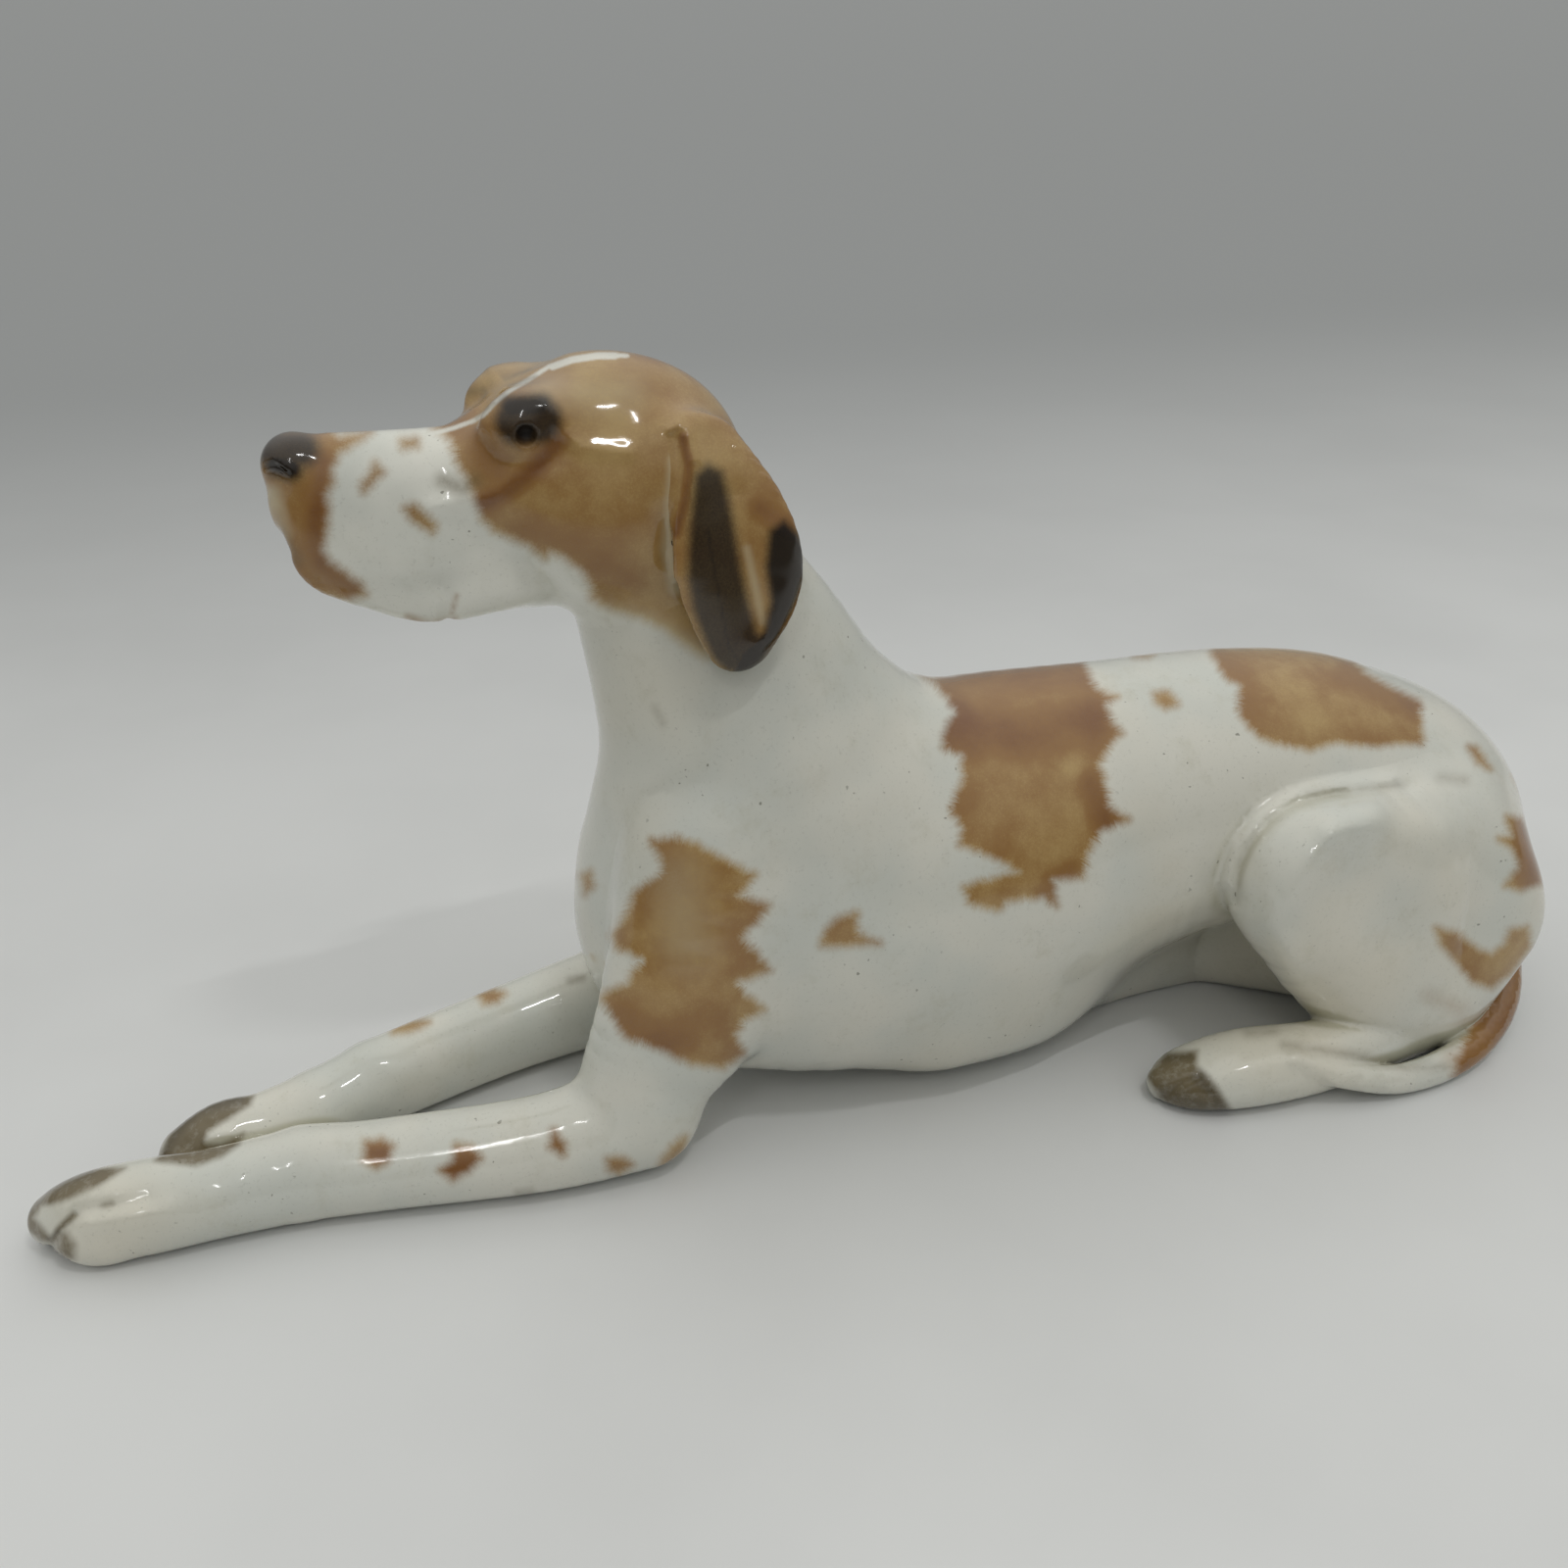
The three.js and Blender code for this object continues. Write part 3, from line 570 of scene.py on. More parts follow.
def laid_on(p):
    """Ears, hind feet and tail, and the fillet of slip round each."""
    q = to_left(p)
    lower, upper = EAR_FILLETS
    ear_fillet = lower + (upper - lower) * smooth((p[:, 2] - EAR_ROOT) / EAR_FILLET_RUN)
    return (left_ear(q), ear_fillet), (left_hind_foot(q), FOOT_FILLET), (tail(p), TAIL_FILLET)


def batch_of_whole(p):
    value = body(p)
    for mass, fillet in laid_on(p):
        value = blend(value, mass, fillet)
    value = tooled(p, value)
    value = carve(value, p[:, 2], TABLE_ROUND)
    vent = np.maximum(np.hypot(p[:, 0] - VENT_X, p[:, 1]) - VENT_RADIUS, p[:, 2] - VENT_DEPTH)
    return carve(value, vent, VENT_ROUND)


def whole(p):
    """The finished figure, a batch of points at a time."""
    batches = np.array_split(p, math.ceil(len(p) / BATCH))
    return np.concatenate([batch_of_whole(batch) for batch in batches])


TETRAHEDRON = np.array([(1, 1, 1), (1, -1, -1), (-1, 1, -1), (-1, -1, 1)])


def value_and_slope(field, p, step=0.08):
    around = (p[None] + step * TETRAHEDRON[:, None]).reshape(-1, 3)
    values = field(around).reshape(4, -1)
    return values.mean(axis=0), values.T @ TETRAHEDRON / (4 * step)


def unit(vectors):
    return vectors / np.maximum(np.linalg.norm(vectors, axis=1), 1e-9)[:, None]


def settled(field, p):
    """Points moved on to the surface of a field, in two steps along the same slope."""
    value, slope = value_and_slope(field, p)
    steep = np.maximum((slope**2).sum(axis=1), GENTLEST_SLOPE)
    p = p - np.clip(value / steep, -CELL / 2, CELL / 2)[:, None] * slope
    return p - np.clip(field(p) / steep, -CELL / 4, CELL / 4)[:, None] * slope


# The skin: the surface of a field as a closed mesh of quads, one corner in each lattice cell it passes.

CORNERS = np.array([(n & 1, n >> 1 & 1, n >> 2) for n in range(8)])
EDGES = []
for axis in range(3):
    for place in range(4):
        first = (place & 1) << (axis + 1) % 3 | (place >> 1) << (axis + 2) % 3
        EDGES.append((axis, first, first | 1 << axis))


def sheets_of(pattern):
    """Which sheet of the surface each crossed edge of a cell is on, for one pattern of inside corners."""
    inside = [pattern >> corner & 1 for corner in range(8)]
    sheet = [-1 if inside[a] == inside[b] else e for e, (_, a, b) in enumerate(EDGES)]
    for axis in range(3):
        for side in range(2):
            crossed = [
                e for e, (_, a, b) in enumerate(EDGES)
                if sheet[e] >= 0 and a >> axis & 1 == side and b >> axis & 1 == side
            ]
            for e in crossed:
                for f in crossed:
                    ends = [EDGES[g][1] if inside[EDGES[g][1]] else EDGES[g][2] for g in (e, f)]
                    if len(crossed) == 2 or ends[0] == ends[1]:
                        sheet = [sheet[f] if label == sheet[e] else label for label in sheet]
    return sheet


SHEETS = np.array([sheets_of(pattern) for pattern in range(256)])


def cells_near_surface(field, low, high):
    """The lattice cells close to the surface, found by halving larger ones."""
    size = CELL * 2**SPLITS
    counts = np.ceil((high - low) / size).astype(int)
    cells = np.stack(np.meshgrid(*map(np.arange, counts), indexing="ij"), axis=-1).reshape(-1, 3)
    while True:
        centres = low + (cells + 0.5) * size
        cells = cells[np.abs(field(centres)) < 2 * size]
        if size <= CELL:
            return cells
        size /= 2
        cells = (2 * cells[:, None] + CORNERS).reshape(-1, 3)


def skin(field, low, high):
    """Corners and quads of the surface."""
    low, high = np.array(low, float), np.array(high, float)
    cells = cells_near_surface(field, low, high)
    span = cells.max() + 3
    weights = np.array([span * span, span, 1])
    nodes, node_of = np.unique((cells[:, None] + CORNERS) @ weights, return_inverse=True)
    places = np.stack([nodes // (span * span), nodes // span % span, nodes % span], axis=-1)
    values = field(low + CELL * places)[node_of].reshape(-1, 8)
    patterns = ((values < 0) << np.arange(8)).sum(axis=1)
    kept = (patterns > 0) & (patterns < 255)
    cells, values, patterns = cells[kept], values[kept], patterns[kept]
    order = np.argsort(cells @ weights)
    cells, values, sheets = cells[order], values[order], SHEETS[patterns[order]]
    keys = cells @ weights

    cell, edge = np.nonzero(sheets >= 0)
    axes, firsts, lasts = np.array(EDGES).T
    start, end = values[cell, firsts[edge]], values[cell, lasts[edge]]
    crossing = cells[cell] + CORNERS[firsts[edge]] + (start / (start - end))[:, None] * np.eye(3)[axes[edge]]
    labels, corner_of = np.unique(12 * cell + sheets[cell, edge], return_inverse=True)
    share = np.bincount(corner_of)
    corners = np.stack([np.bincount(corner_of, crossing[:, k]) / share for k in range(3)], axis=-1)

    quads = []
    for axis in range(3):
        here = np.nonzero(sheets[:, 4 * axis] >= 0)[0]
        ring = []
        for place in (0, 1, 3, 2):
            back = np.zeros(3, int)
            back[(axis + 1) % 3], back[(axis + 2) % 3] = place & 1, place >> 1
            there = np.searchsorted(keys, (cells[here] - back) @ weights)
            ring.append(np.searchsorted(labels, 12 * there + sheets[there, 4 * axis + place]))
        ring = np.stack(ring, axis=-1)
        outward = values[here, 0] < 0
        quads.append(np.where(outward[:, None], ring, ring[:, ::-1]))
    return low + CELL * corners, np.concatenate(quads)


def relaxed(field, corners, quads):
    """Corners evened out along the surface."""
    ends = np.concatenate([quads, np.roll(quads, 1, axis=1)]).reshape(-1)
    others = np.concatenate([np.roll(quads, 1, axis=1), quads]).reshape(-1)
    share = np.bincount(ends)
    middle = np.stack([np.bincount(ends, corners[others, k]) / share for k in range(3)], axis=-1)
    return settled(field, 0.5 * (corners + middle))


# The castings: how far points lie outside each one's region. A point belongs to the first that it is in.


def past(seam):
    at, facing = seam
    return lambda p: (np.array(at) - p) @ facing


def side_plug(seam, side):
    def region(p):
        u = np.abs(p[:, 0] - seam["x"]) * 2 / seam["length"]
        v = np.abs(p[:, 2] - seam["z"]) * 2 / seam["height"]
        oval = (u**PLUG_SQUARENESS + v**PLUG_SQUARENESS) ** (1 / PLUG_SQUARENESS) - 1
        return np.maximum(oval * seam["length"] / 2, seam["start"] - side * p[:, 1])

    return region


def foreleg_region(own, other, seam, side):
    plug = side_plug(seam, side)

    def region(p):
        x, _, z = p.T
        ahead = np.minimum(x - BREAST_FRONT, np.maximum(x - BREAST_FOOT[0], z - BREAST_FOOT[1]))
        return np.maximum(np.minimum(plug(p), ahead), own(p) - other(p))

    return region


def laid_region(index, side):
    """What is laid on the body, on one side of it or on both."""

    def region(p):
        laid = [mass for mass, _ in laid_on(p)]
        others = [body(p)] + laid[:index] + laid[index + 1:]
        nearest = laid[index] - np.minimum.reduce(others)
        return nearest if side == BOTH else np.maximum(nearest, -side * p[:, 1])

    return region


REGIONS = {
    "left_ear": laid_region(0, LEFT),
    "right_ear": laid_region(0, RIGHT),
    "left_hind_foot": laid_region(1, LEFT),
    "right_hind_foot": laid_region(1, RIGHT),
    "tail": laid_region(2, BOTH),
    "head": past(HEAD_SEAM),
    "neck": past(NECK_SEAM),
    "left_haunch": side_plug(HAUNCH_SEAM, LEFT),
    "right_haunch": side_plug(HAUNCH_SEAM, RIGHT),
    "left_foreleg": foreleg_region(left_foreleg, right_foreleg, LEFT_SHOULDER_SEAM, LEFT),
    "right_foreleg": foreleg_region(right_foreleg, left_foreleg, RIGHT_SHOULDER_SEAM, RIGHT),
    "torso": lambda p: np.full(len(p), -1.0),
}
NAMES = list(REGIONS)
COARSE = {"torso", "neck", "tail"}


def castings_at(p):
    """The number of the casting that each point belongs to."""
    owner = np.full(len(p), len(NAMES) - 1)
    for number in reversed(range(NAMES.index("head"), len(NAMES) - 1)):
        owner[REGIONS[NAMES[number]](p) < 0] = number
    nearest = np.argmin([body(p)] + [mass for mass, _ in laid_on(p)], axis=0)
    on_right = p[:, 1] > 0
    owner = np.where(nearest == 1, NAMES.index("left_ear") + on_right, owner)
    owner = np.where(nearest == 2, NAMES.index("left_hind_foot") + on_right, owner)
    return np.where(nearest == 3, NAMES.index("tail"), owner)


def beside(quads):
    """The four quads that share an edge with each."""
    edges = np.sort(np.stack([quads, np.roll(quads, -1, axis=1)], axis=-1).reshape(-1, 2), axis=1)
    order = np.lexsort(edges.T)
    across = np.empty(len(edges), int)
    across[order[0::2]] = order[1::2]
    across[order[1::2]] = order[0::2]
    return across.reshape(-1, 4) // 4


def one_stretch_each(owner, around):
    """Gives small stray stretches of a casting to the castings round them."""
    stretch = np.arange(len(owner))
    same = owner[around] == owner[:, None]
    changed = True
    while changed:
        lowest = np.minimum(np.where(same, stretch[around], stretch[:, None]).min(axis=1), stretch)
        lowest = lowest[lowest]
        changed = (lowest != stretch).any()
        stretch = lowest
    stray = np.bincount(stretch, minlength=len(owner))[stretch] < SMALLEST_STRETCH
    lone = (owner[around] == owner[:, None]).sum(axis=1) < 2
    owner = np.where(stray | lone, -1, owner)
    unclaimed = len(owner)
    while unclaimed > (owner < 0).sum():
        unclaimed = (owner < 0).sum()
        owner = np.where(owner < 0, owner[around].max(axis=1), owner)
    return owner


def rim_corners_on_seams(corners, quads, owner):
    """Moves the corners between two castings on to the seam between them."""
    touching = np.zeros((len(corners), len(NAMES) + 1), bool)
    for k in range(4):
        touching[quads[:, k], owner] = True
    between = np.nonzero(touching.sum(axis=1) == 2)[0]
    seam_of = touching[between].argmax(axis=1)
    for number in np.unique(seam_of):
        rim = between[seam_of == number]
        _, normal = value_and_slope(whole, corners[rim])
        normal = unit(normal)
        off, slope = value_and_slope(REGIONS[NAMES[number]], corners[rim])
        slope -= (slope * normal).sum(axis=1)[:, None] * normal
        steep = np.maximum((slope**2).sum(axis=1), GENTLEST_SEAM_SLOPE)
        step = np.clip(off / steep, -FARTHEST * CELL, FARTHEST * CELL)
        corners[rim] = settled(whole, corners[rim] - step[:, None] * slope)
    return corners


def evened(normals, quads, times):
    """Normals averaged with those beside them, except across a crease."""
    starts = quads.reshape(-1)
    ends = np.roll(quads, -1, axis=1).reshape(-1)
    starts, ends = np.concatenate([starts, ends]), np.concatenate([ends, starts])
    for _ in range(times):
        alike = (normals[starts] * normals[ends]).sum(axis=1) > ALIKE
        share = [np.bincount(starts[alike], normals[ends[alike], k], len(normals)) for k in range(3)]
        normals = unit(normals + np.stack(share, axis=-1))
    return normals


def own_mesh(corners, faces):
    """Only the corners that some faces use, and the faces on them."""
    used, inverse = np.unique(faces, return_inverse=True)
    return corners[used], inverse.reshape(faces.shape)


def rim_of(quads):
    """Directed edges that only one face has."""
    edges = np.stack([quads, np.roll(quads, -1, axis=1)], axis=-1).reshape(-1, 2)
    span = quads.max() + 1
    forth = edges @ (span, 1)
    back = edges @ (1, span)
    return edges[~np.isin(forth, back)]


def refined(corners, quads):
    """Each quad as four, with the new corners on the surface, except along the rim."""
    edges = np.stack([quads, np.roll(quads, -1, axis=1)], axis=-1).reshape(-1, 2)
    pairs, edge_of = np.unique(np.sort(edges, axis=1), axis=0, return_inverse=True)
    middles = corners[pairs].mean(axis=1)
    centres = corners[quads].mean(axis=1)
    rim = set(map(tuple, np.sort(rim_of(quads), axis=1)))
    free = np.array([tuple(ends) not in rim for ends in pairs])
    middles[free] = settled(whole, middles[free])
    centres = settled(whole, centres)
    edge_of = edge_of.reshape(-1, 4) + len(corners)
    centre_of = np.arange(len(quads)) + len(corners) + len(middles)
    parts = [
        np.stack([quads[:, k], edge_of[:, k], centre_of, edge_of[:, k - 1]], axis=-1)
        for k in range(4)
    ]
    return np.concatenate([corners, middles, centres]), np.concatenate(parts)


# Where the inner point of a lid is tried: millimetres along x from the middle of its rim, the share of that
# middle's distance from the plane between left and right, and millimetres up from it.
LID_TRIES = [(-12, -4, 4, 12), (0, 0.3, 0.6, 1), (-8, 0, 8, 16)]
LID_SPOKES = 30  # corners of the rim that each is tried with
PART_WAYS = np.linspace(0.2, 1, 5)[:, None, None]  # how far towards it from each


def point_behind(rim):
    """A point inside the figure that every corner of a rim can be joined to without leaving it."""
    middle = rim.mean(axis=0)
    tries = np.stack(np.meshgrid(*LID_TRIES, indexing="ij"), axis=-1).reshape(-1, 3)
    options = middle * (1, 0, 1) + tries * (1, middle[1], 1)
    spread = rim[:: math.ceil(len(rim) / LID_SPOKES)]
    spokes = spread + PART_WAYS * (options[:, None, None] - spread)
    return options[whole(spokes.reshape(-1, 3)).reshape(len(options), -1).max(axis=1).argmin()]


def rim_loops(quads):
    """The loops of corners round a casting's open edge."""
    following = {}
    for start, end in rim_of(quads).tolist():
        following.setdefault(start, []).append(end)
    loops = []
    while following:
        there = next(iter(following))
        loop = []
        while there in following or loop:
            if there in loop:
                cut = loop.index(there)
                loops.append(loop[cut:])
                del loop[cut:]
            if there in following:
                loop.append(there)
                ways = following[there]
                if len(ways) == 1:
                    del following[there]
                there = ways.pop()
    return loops


skin_corners, skin_quads = skin(whole, SKIN_LOW, SKIN_HIGH)
skin_corners = relaxed(whole, settled(whole, skin_corners), skin_quads)
owners = one_stretch_each(castings_at(skin_corners[skin_quads].mean(axis=1)), beside(skin_quads))
skin_corners = rim_corners_on_seams(skin_corners, skin_quads, owners)

# The modelling frame's origin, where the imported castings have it.
haunch_low, haunch_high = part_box("left_haunch")
ORIGIN = np.array([
    haunch_low.x / MM - (HAUNCH_SEAM["x"] - HAUNCH_SEAM["length"] / 2),
    haunch_high.y / MM + HAUNCH_SEAM["start"],
    0,
])

# The painting: which castings a colour lies on.

ON_HEAD, ON_NECK, ON_TRUNK = ("head",), ("neck",), ("torso",)
ON_EAR, ON_TAIL, ON_HIND_FOOT = ("left_ear",), ("tail",), ("left_hind_foot",)
ON_FORELEG, ON_FAR_FORELEG = ("left_foreleg",), ("right_foreleg",)
ON_THIGH, ON_FAR_THIGH = ("left_haunch",), ("right_haunch",)
ON_HEAD_AND_NECK = ON_HEAD + ON_NECK
ON_BACK = ON_TRUNK + ON_NECK
ON_SHOULDER = ON_TRUNK + ON_FORELEG
ON_FAR_SHOULDER = ON_TRUNK + ON_FAR_FORELEG
ON_FAR_PAW = ON_FAR_FORELEG + ON_FORELEG
ON_HAUNCH = ON_TRUNK + ON_THIGH
ON_FAR_HAUNCH = ON_TRUNK + ON_FAR_THIGH
ON_HOCK = ON_THIGH + ON_HIND_FOOT + ON_TRUNK
ON_TAIL_GROOVE = ON_THIGH + ON_HIND_FOOT + ON_TAIL
ON_TAIL_END = ON_TAIL + ON_THIGH

# Outlines of the tan patches, in pixels.

HEAD_TAN = [
    (449, 440), (462, 450), (466, 470), (474, 482), (480, 496), (487, 512), (493, 530), (503, 540),
    (516, 546), (528, 551), (540, 556), (549, 564), (556, 569), (561, 563), (573, 566), (588, 577),
    (598, 586), (604, 598), (604, 612), (624, 622), (655, 630), (680, 643), (700, 658), (720, 672),
    (760, 640), (778, 560), (790, 505), (830, 470), (790, 400), (700, 320), (600, 300), (460, 320),
    (430, 420),
]
MUZZLE_TAN = [
    (255, 430), (330, 430), (346, 447), (378, 441), (362, 452), (345, 462), (338, 478), (339, 492),
    (332, 504), (334, 525), (332, 545), (328, 562), (336, 574), (352, 585), (368, 597), (372, 606),
    (350, 612), (300, 600), (260, 560), (255, 500),
]
SHOULDER_TAN = [
    (666, 858), (693, 856), (713, 863), (739, 878), (769, 893), (761, 906), (752, 914), (785, 924),
    (772, 939), (756, 957), (770, 972), (786, 990), (768, 996), (750, 1002), (762, 1016), (779, 1030),
    (757, 1042), (750, 1057), (760, 1076), (739, 1089), (706, 1085), (678, 1072), (637, 1057), (626, 1037),
    (612, 1017), (640, 1004), (658, 978), (629, 967), (624, 955), (639, 934), (649, 910), (675, 893),
    (675, 878),
]
RIB_TAN = [(874, 932), (874, 953), (897, 962), (866, 964), (838, 965), (843, 949), (856, 937)]
SADDLE_TAN = [
    (930, 640), (943, 688), (960, 701), (976, 728), (968, 738), (962, 762), (982, 771), (984, 795),
    (970, 824), (982, 844), (980, 862), (1006, 871), (1027, 881), (1040, 890), (1006, 899), (984, 905),
    (990, 922), (1019, 928), (1031, 918), (1064, 915), (1078, 924), (1074, 897), (1104, 895), (1111, 869),
    (1121, 848), (1151, 836), (1131, 824), (1127, 799), (1121, 779), (1135, 756), (1145, 748), (1133, 736),
    (1127, 718), (1139, 711), (1119, 705), (1106, 679), (1100, 630),
]
LOIN_SPOT = [(1178, 708), (1192, 706), (1202, 718), (1190, 723), (1180, 716)]
RIDGE_SPOT = [(1158, 660), (1180, 660), (1172, 670), (1158, 669)]
RUMP_TAN = [
    (1232, 640), (1237, 668), (1250, 690), (1266, 700), (1264, 722), (1272, 738), (1285, 752), (1304, 758),
    (1336, 765), (1361, 757), (1403, 761), (1430, 758), (1451, 759), (1449, 716), (1419, 702), (1400, 692),
    (1390, 684), (1365, 650),
]
CROUP_SPOT = [(1499, 762), (1506, 762), (1521, 785), (1508, 778)]
STERN_SPOT = [(1546, 790), (1570, 812), (1556, 808)]
BUTTOCK_TAN = [
    (1538, 833), (1555, 836), (1574, 866), (1576, 900), (1552, 908), (1536, 904), (1551, 884), (1546, 868),
    (1530, 856), (1543, 854),
]
HOCK_TAN = [
    (1466, 948), (1486, 952), (1506, 968), (1522, 974), (1536, 964), (1540, 950), (1558, 946), (1562, 968),
    (1544, 992), (1522, 1008), (1504, 1002), (1486, 982), (1470, 962),
]
FORELEG_SPOTS = [
    [(374, 1166), (390, 1163), (400, 1170), (396, 1184), (384, 1192), (372, 1184)],
    [(466, 1169), (480, 1170), (490, 1182), (478, 1194), (462, 1204), (450, 1194), (462, 1186)],
    [(565, 1154), (576, 1168), (574, 1178), (562, 1170)],
    [(620, 1183), (636, 1182), (645, 1188), (632, 1199), (622, 1193)],
    [(674, 1188), (686, 1170), (700, 1160), (700, 1176), (684, 1192)],
]
FAR_FORELEG_SPOTS = [
    [(488, 1015), (502, 1009), (514, 1014), (508, 1022), (494, 1024)],
    [(398, 1049), (420, 1042), (438, 1043), (420, 1052), (402, 1054)],
]
FAR_SHOULDER_SPOT = [(594, 893), (602, 889), (604, 905), (597, 912)]
MUZZLE_SPOTS = [
    [(410, 450), (424, 449), (425, 455), (412, 456)],
    [(383, 474), (389, 482), (378, 494), (371, 501), (372, 492), (379, 484)],
    [(414, 519), (422, 517), (434, 526), (443, 536), (441, 542), (430, 536), (420, 528)],
]
TAIL_TAN = [(1500, 1050), (1520, 1010), (1530, 960), (1600, 960), (1570, 1080), (1500, 1130), (1484, 1098)]

# The castings a patch lies on, its outline and how brushed its edge is.
NEAR_TAN = [
    (ON_HEAD_AND_NECK, HEAD_TAN, 0.4),
    (ON_HEAD, MUZZLE_TAN, 0.3),
    (ON_SHOULDER, SHOULDER_TAN, 1.0),
    (ON_SHOULDER, RIB_TAN, 0.5),
    (ON_BACK, SADDLE_TAN, 1.0),
    (ON_TRUNK, LOIN_SPOT, 0.3),
    (ON_TRUNK, RIDGE_SPOT, 0.3),
    (ON_HAUNCH, RUMP_TAN, 0.9),
    (ON_HAUNCH, CROUP_SPOT, 0.3),
    (ON_HAUNCH, STERN_SPOT, 0.3),
    (ON_HAUNCH, BUTTOCK_TAN, 0.6),
    (ON_HAUNCH, HOCK_TAN, 0.5),
    (ON_FAR_SHOULDER, FAR_SHOULDER_SPOT, 0.3),
    (ON_TAIL, TAIL_TAN, 0.8),
]
NEAR_TAN += [(ON_HEAD, spot, 0.25) for spot in MUZZLE_SPOTS]
NEAR_TAN += [(ON_FORELEG, spot, 0.3) for spot in FORELEG_SPOTS]
NEAR_TAN += [(ON_FAR_FORELEG, spot, 0.3) for spot in FAR_FORELEG_SPOTS]

# Patches of the side that the photograph doesn't show, seen from that side: x and z in millimetres.
FAR_SADDLE_TAN = [
    (70, 90), (72, 72), (69, 66), (76, 58), (74, 50), (86, 46), (98, 52), (104, 60), (100, 68), (107, 76),
    (104, 90),
]
FAR_RUMP_TAN = [(126, 90), (131, 70), (138, 63), (150, 60), (164, 57), (172, 62), (170, 80), (160, 90)]
FAR_SHOULDER_TAN = [(20, 52), (32, 58), (44, 55), (42, 46), (48, 38), (40, 30), (28, 26), (22, 34), (16, 40)]
FAR_RIB_SPOT = [(60, 30), (66, 34), (67, 27)]
FAR_BUTTOCK_TAN = [(188, 46), (198, 44), (201, 34), (192, 30), (186, 38)]
FAR_TAN = [
    (ON_FAR_HAUNCH, FAR_SADDLE_TAN),
    (ON_FAR_HAUNCH, FAR_RUMP_TAN),
    (ON_FAR_SHOULDER, FAR_SHOULDER_TAN),
    (ON_FAR_HAUNCH, FAR_RIB_SPOT),
    (ON_FAR_THIGH, FAR_BUTTOCK_TAN),
]

# Routes of the soft airbrushed colour, in pixels. One that ends where it starts is filled.

EYE_PATCH = [(530, 430), (548, 428)]
EAR_BLADE = [
    (708, 484), (702, 540), (700, 590), (705, 622), (715, 650), (726, 674), (742, 690), (776, 680),
    (786, 654), (774, 644), (766, 616), (758, 580), (752, 545), (745, 505), (738, 480), (722, 472),
    (708, 484),
]
EAR_LOBE = [
    (786, 542), (800, 532), (815, 545), (828, 570), (815, 610), (796, 650), (770, 690), (742, 692),
    (756, 664), (780, 644), (787, 614), (782, 578), (786, 542),
]
NEAR_PAW_TIP = [
    (22, 1240), (44, 1216), (66, 1201), (95, 1190), (128, 1192), (106, 1207), (82, 1219), (62, 1227),
    (42, 1231), (35, 1243), (46, 1256), (56, 1268), (42, 1268), (28, 1256), (22, 1240),
]
NEAR_TOE = [(55, 1268), (60, 1256), (69, 1258), (77, 1270), (76, 1285), (66, 1290), (57, 1282), (55, 1268)]
FAR_PAW_TIP = [
    (158, 1185), (176, 1150), (197, 1129), (220, 1117), (259, 1118), (256, 1127), (226, 1146), (211, 1156),
    (209, 1167), (226, 1168), (249, 1156), (244, 1168), (226, 1181), (200, 1190), (158, 1185),
]
HIND_TOE = [
    (1168, 1098), (1190, 1074), (1222, 1072), (1221, 1088), (1235, 1100), (1248, 1120), (1260, 1138),
    (1225, 1144), (1190, 1128), (1168, 1098),
]
UPPER_EYE_PATCH = [(522, 416), (552, 414)]
PUPIL_PAINT = [(534, 439), (537, 439)]
NOSE_TOP = [(262, 452), (284, 458), (306, 458)]
NOSE_UNDERSIDE = [(282, 474), (296, 478)]
EAR_BLADE_CORE = [(722, 540), (732, 600), (744, 660), (752, 672)]
NEAR_PAW_RIM = [(26, 1236), (46, 1216), (72, 1202), (92, 1194)]
NEAR_TOE_END = [(54, 1278), (60, 1284)]
NEAR_TOE_LINE = [(54, 1267), (60, 1254), (75, 1240)]
NEAR_TOE_CROOK = [(50, 1264), (60, 1256)]
FAR_PAW_RIM = [(166, 1180), (182, 1152), (202, 1132), (244, 1122)]
NEAR_PAW_FLECK = [(106, 1230), (114, 1228)]
HIND_TOE_EDGE = [(1224, 1100), (1240, 1120), (1246, 1132)]
HIND_TOE_TOP = [(1190, 1080), (1214, 1078)]
HIND_TOE_SIDE = [(1186, 1118), (1214, 1124), (1232, 1130)]
HOCK_STAIN = [(1274, 1054), (1300, 1052)]
TAIL_GROOVE_STAIN = [(1310, 1066), (1380, 1076), (1436, 1090), (1472, 1088)]
CHEEK_STAIN = [(452, 490), (472, 500), (484, 492)]
BLAZE_STAIN_LOW = [(486, 427), (504, 411)]
BLAZE_STAIN_HIGH = [(520, 394), (546, 384)]
CREASE_STAIN_MIDDLE = [(1336, 811), (1376, 806)]
CREASE_STAIN_REAR = [(1376, 806), (1430, 802)]
CREASE_STAIN_FRONT = [(1262, 914), (1268, 880), (1282, 853)]
CROUP_STAIN = [(1470, 793), (1494, 796)]
FOREARM_STAIN = [(528, 1217), (542, 1216)]
NECK_STAIN = [(668, 722), (676, 738)]
FAR_ELBOW_STAIN = [(582, 1000), (594, 998)]
LIP_STAIN = [(286, 545), (302, 572)]
UNDER_EYE_BAND = [(568, 450), (546, 478), (516, 502), (492, 514)]
EYE_CORNER_BAND = [(486, 440), (500, 470), (510, 486)]
MUZZLE_BAND = [(330, 470), (326, 500), (322, 540), (330, 574), (358, 600)]
CHEEK_BAND = [(540, 540), (600, 560), (640, 590)]
FOREHEAD_BAND = [(466, 420), (480, 392)]
EAR_FRONT_BAND = [(697, 446), (703, 474), (699, 510), (690, 545)]
EAR_REAR_BAND = [(775, 520), (800, 535)]
SADDLE_BAND = [(960, 738), (1040, 748), (1110, 736)]
SADDLE_TOP = [(980, 680), (1060, 690), (1110, 690)]
SADDLE_REAR = [(1112, 800), (1128, 840)]
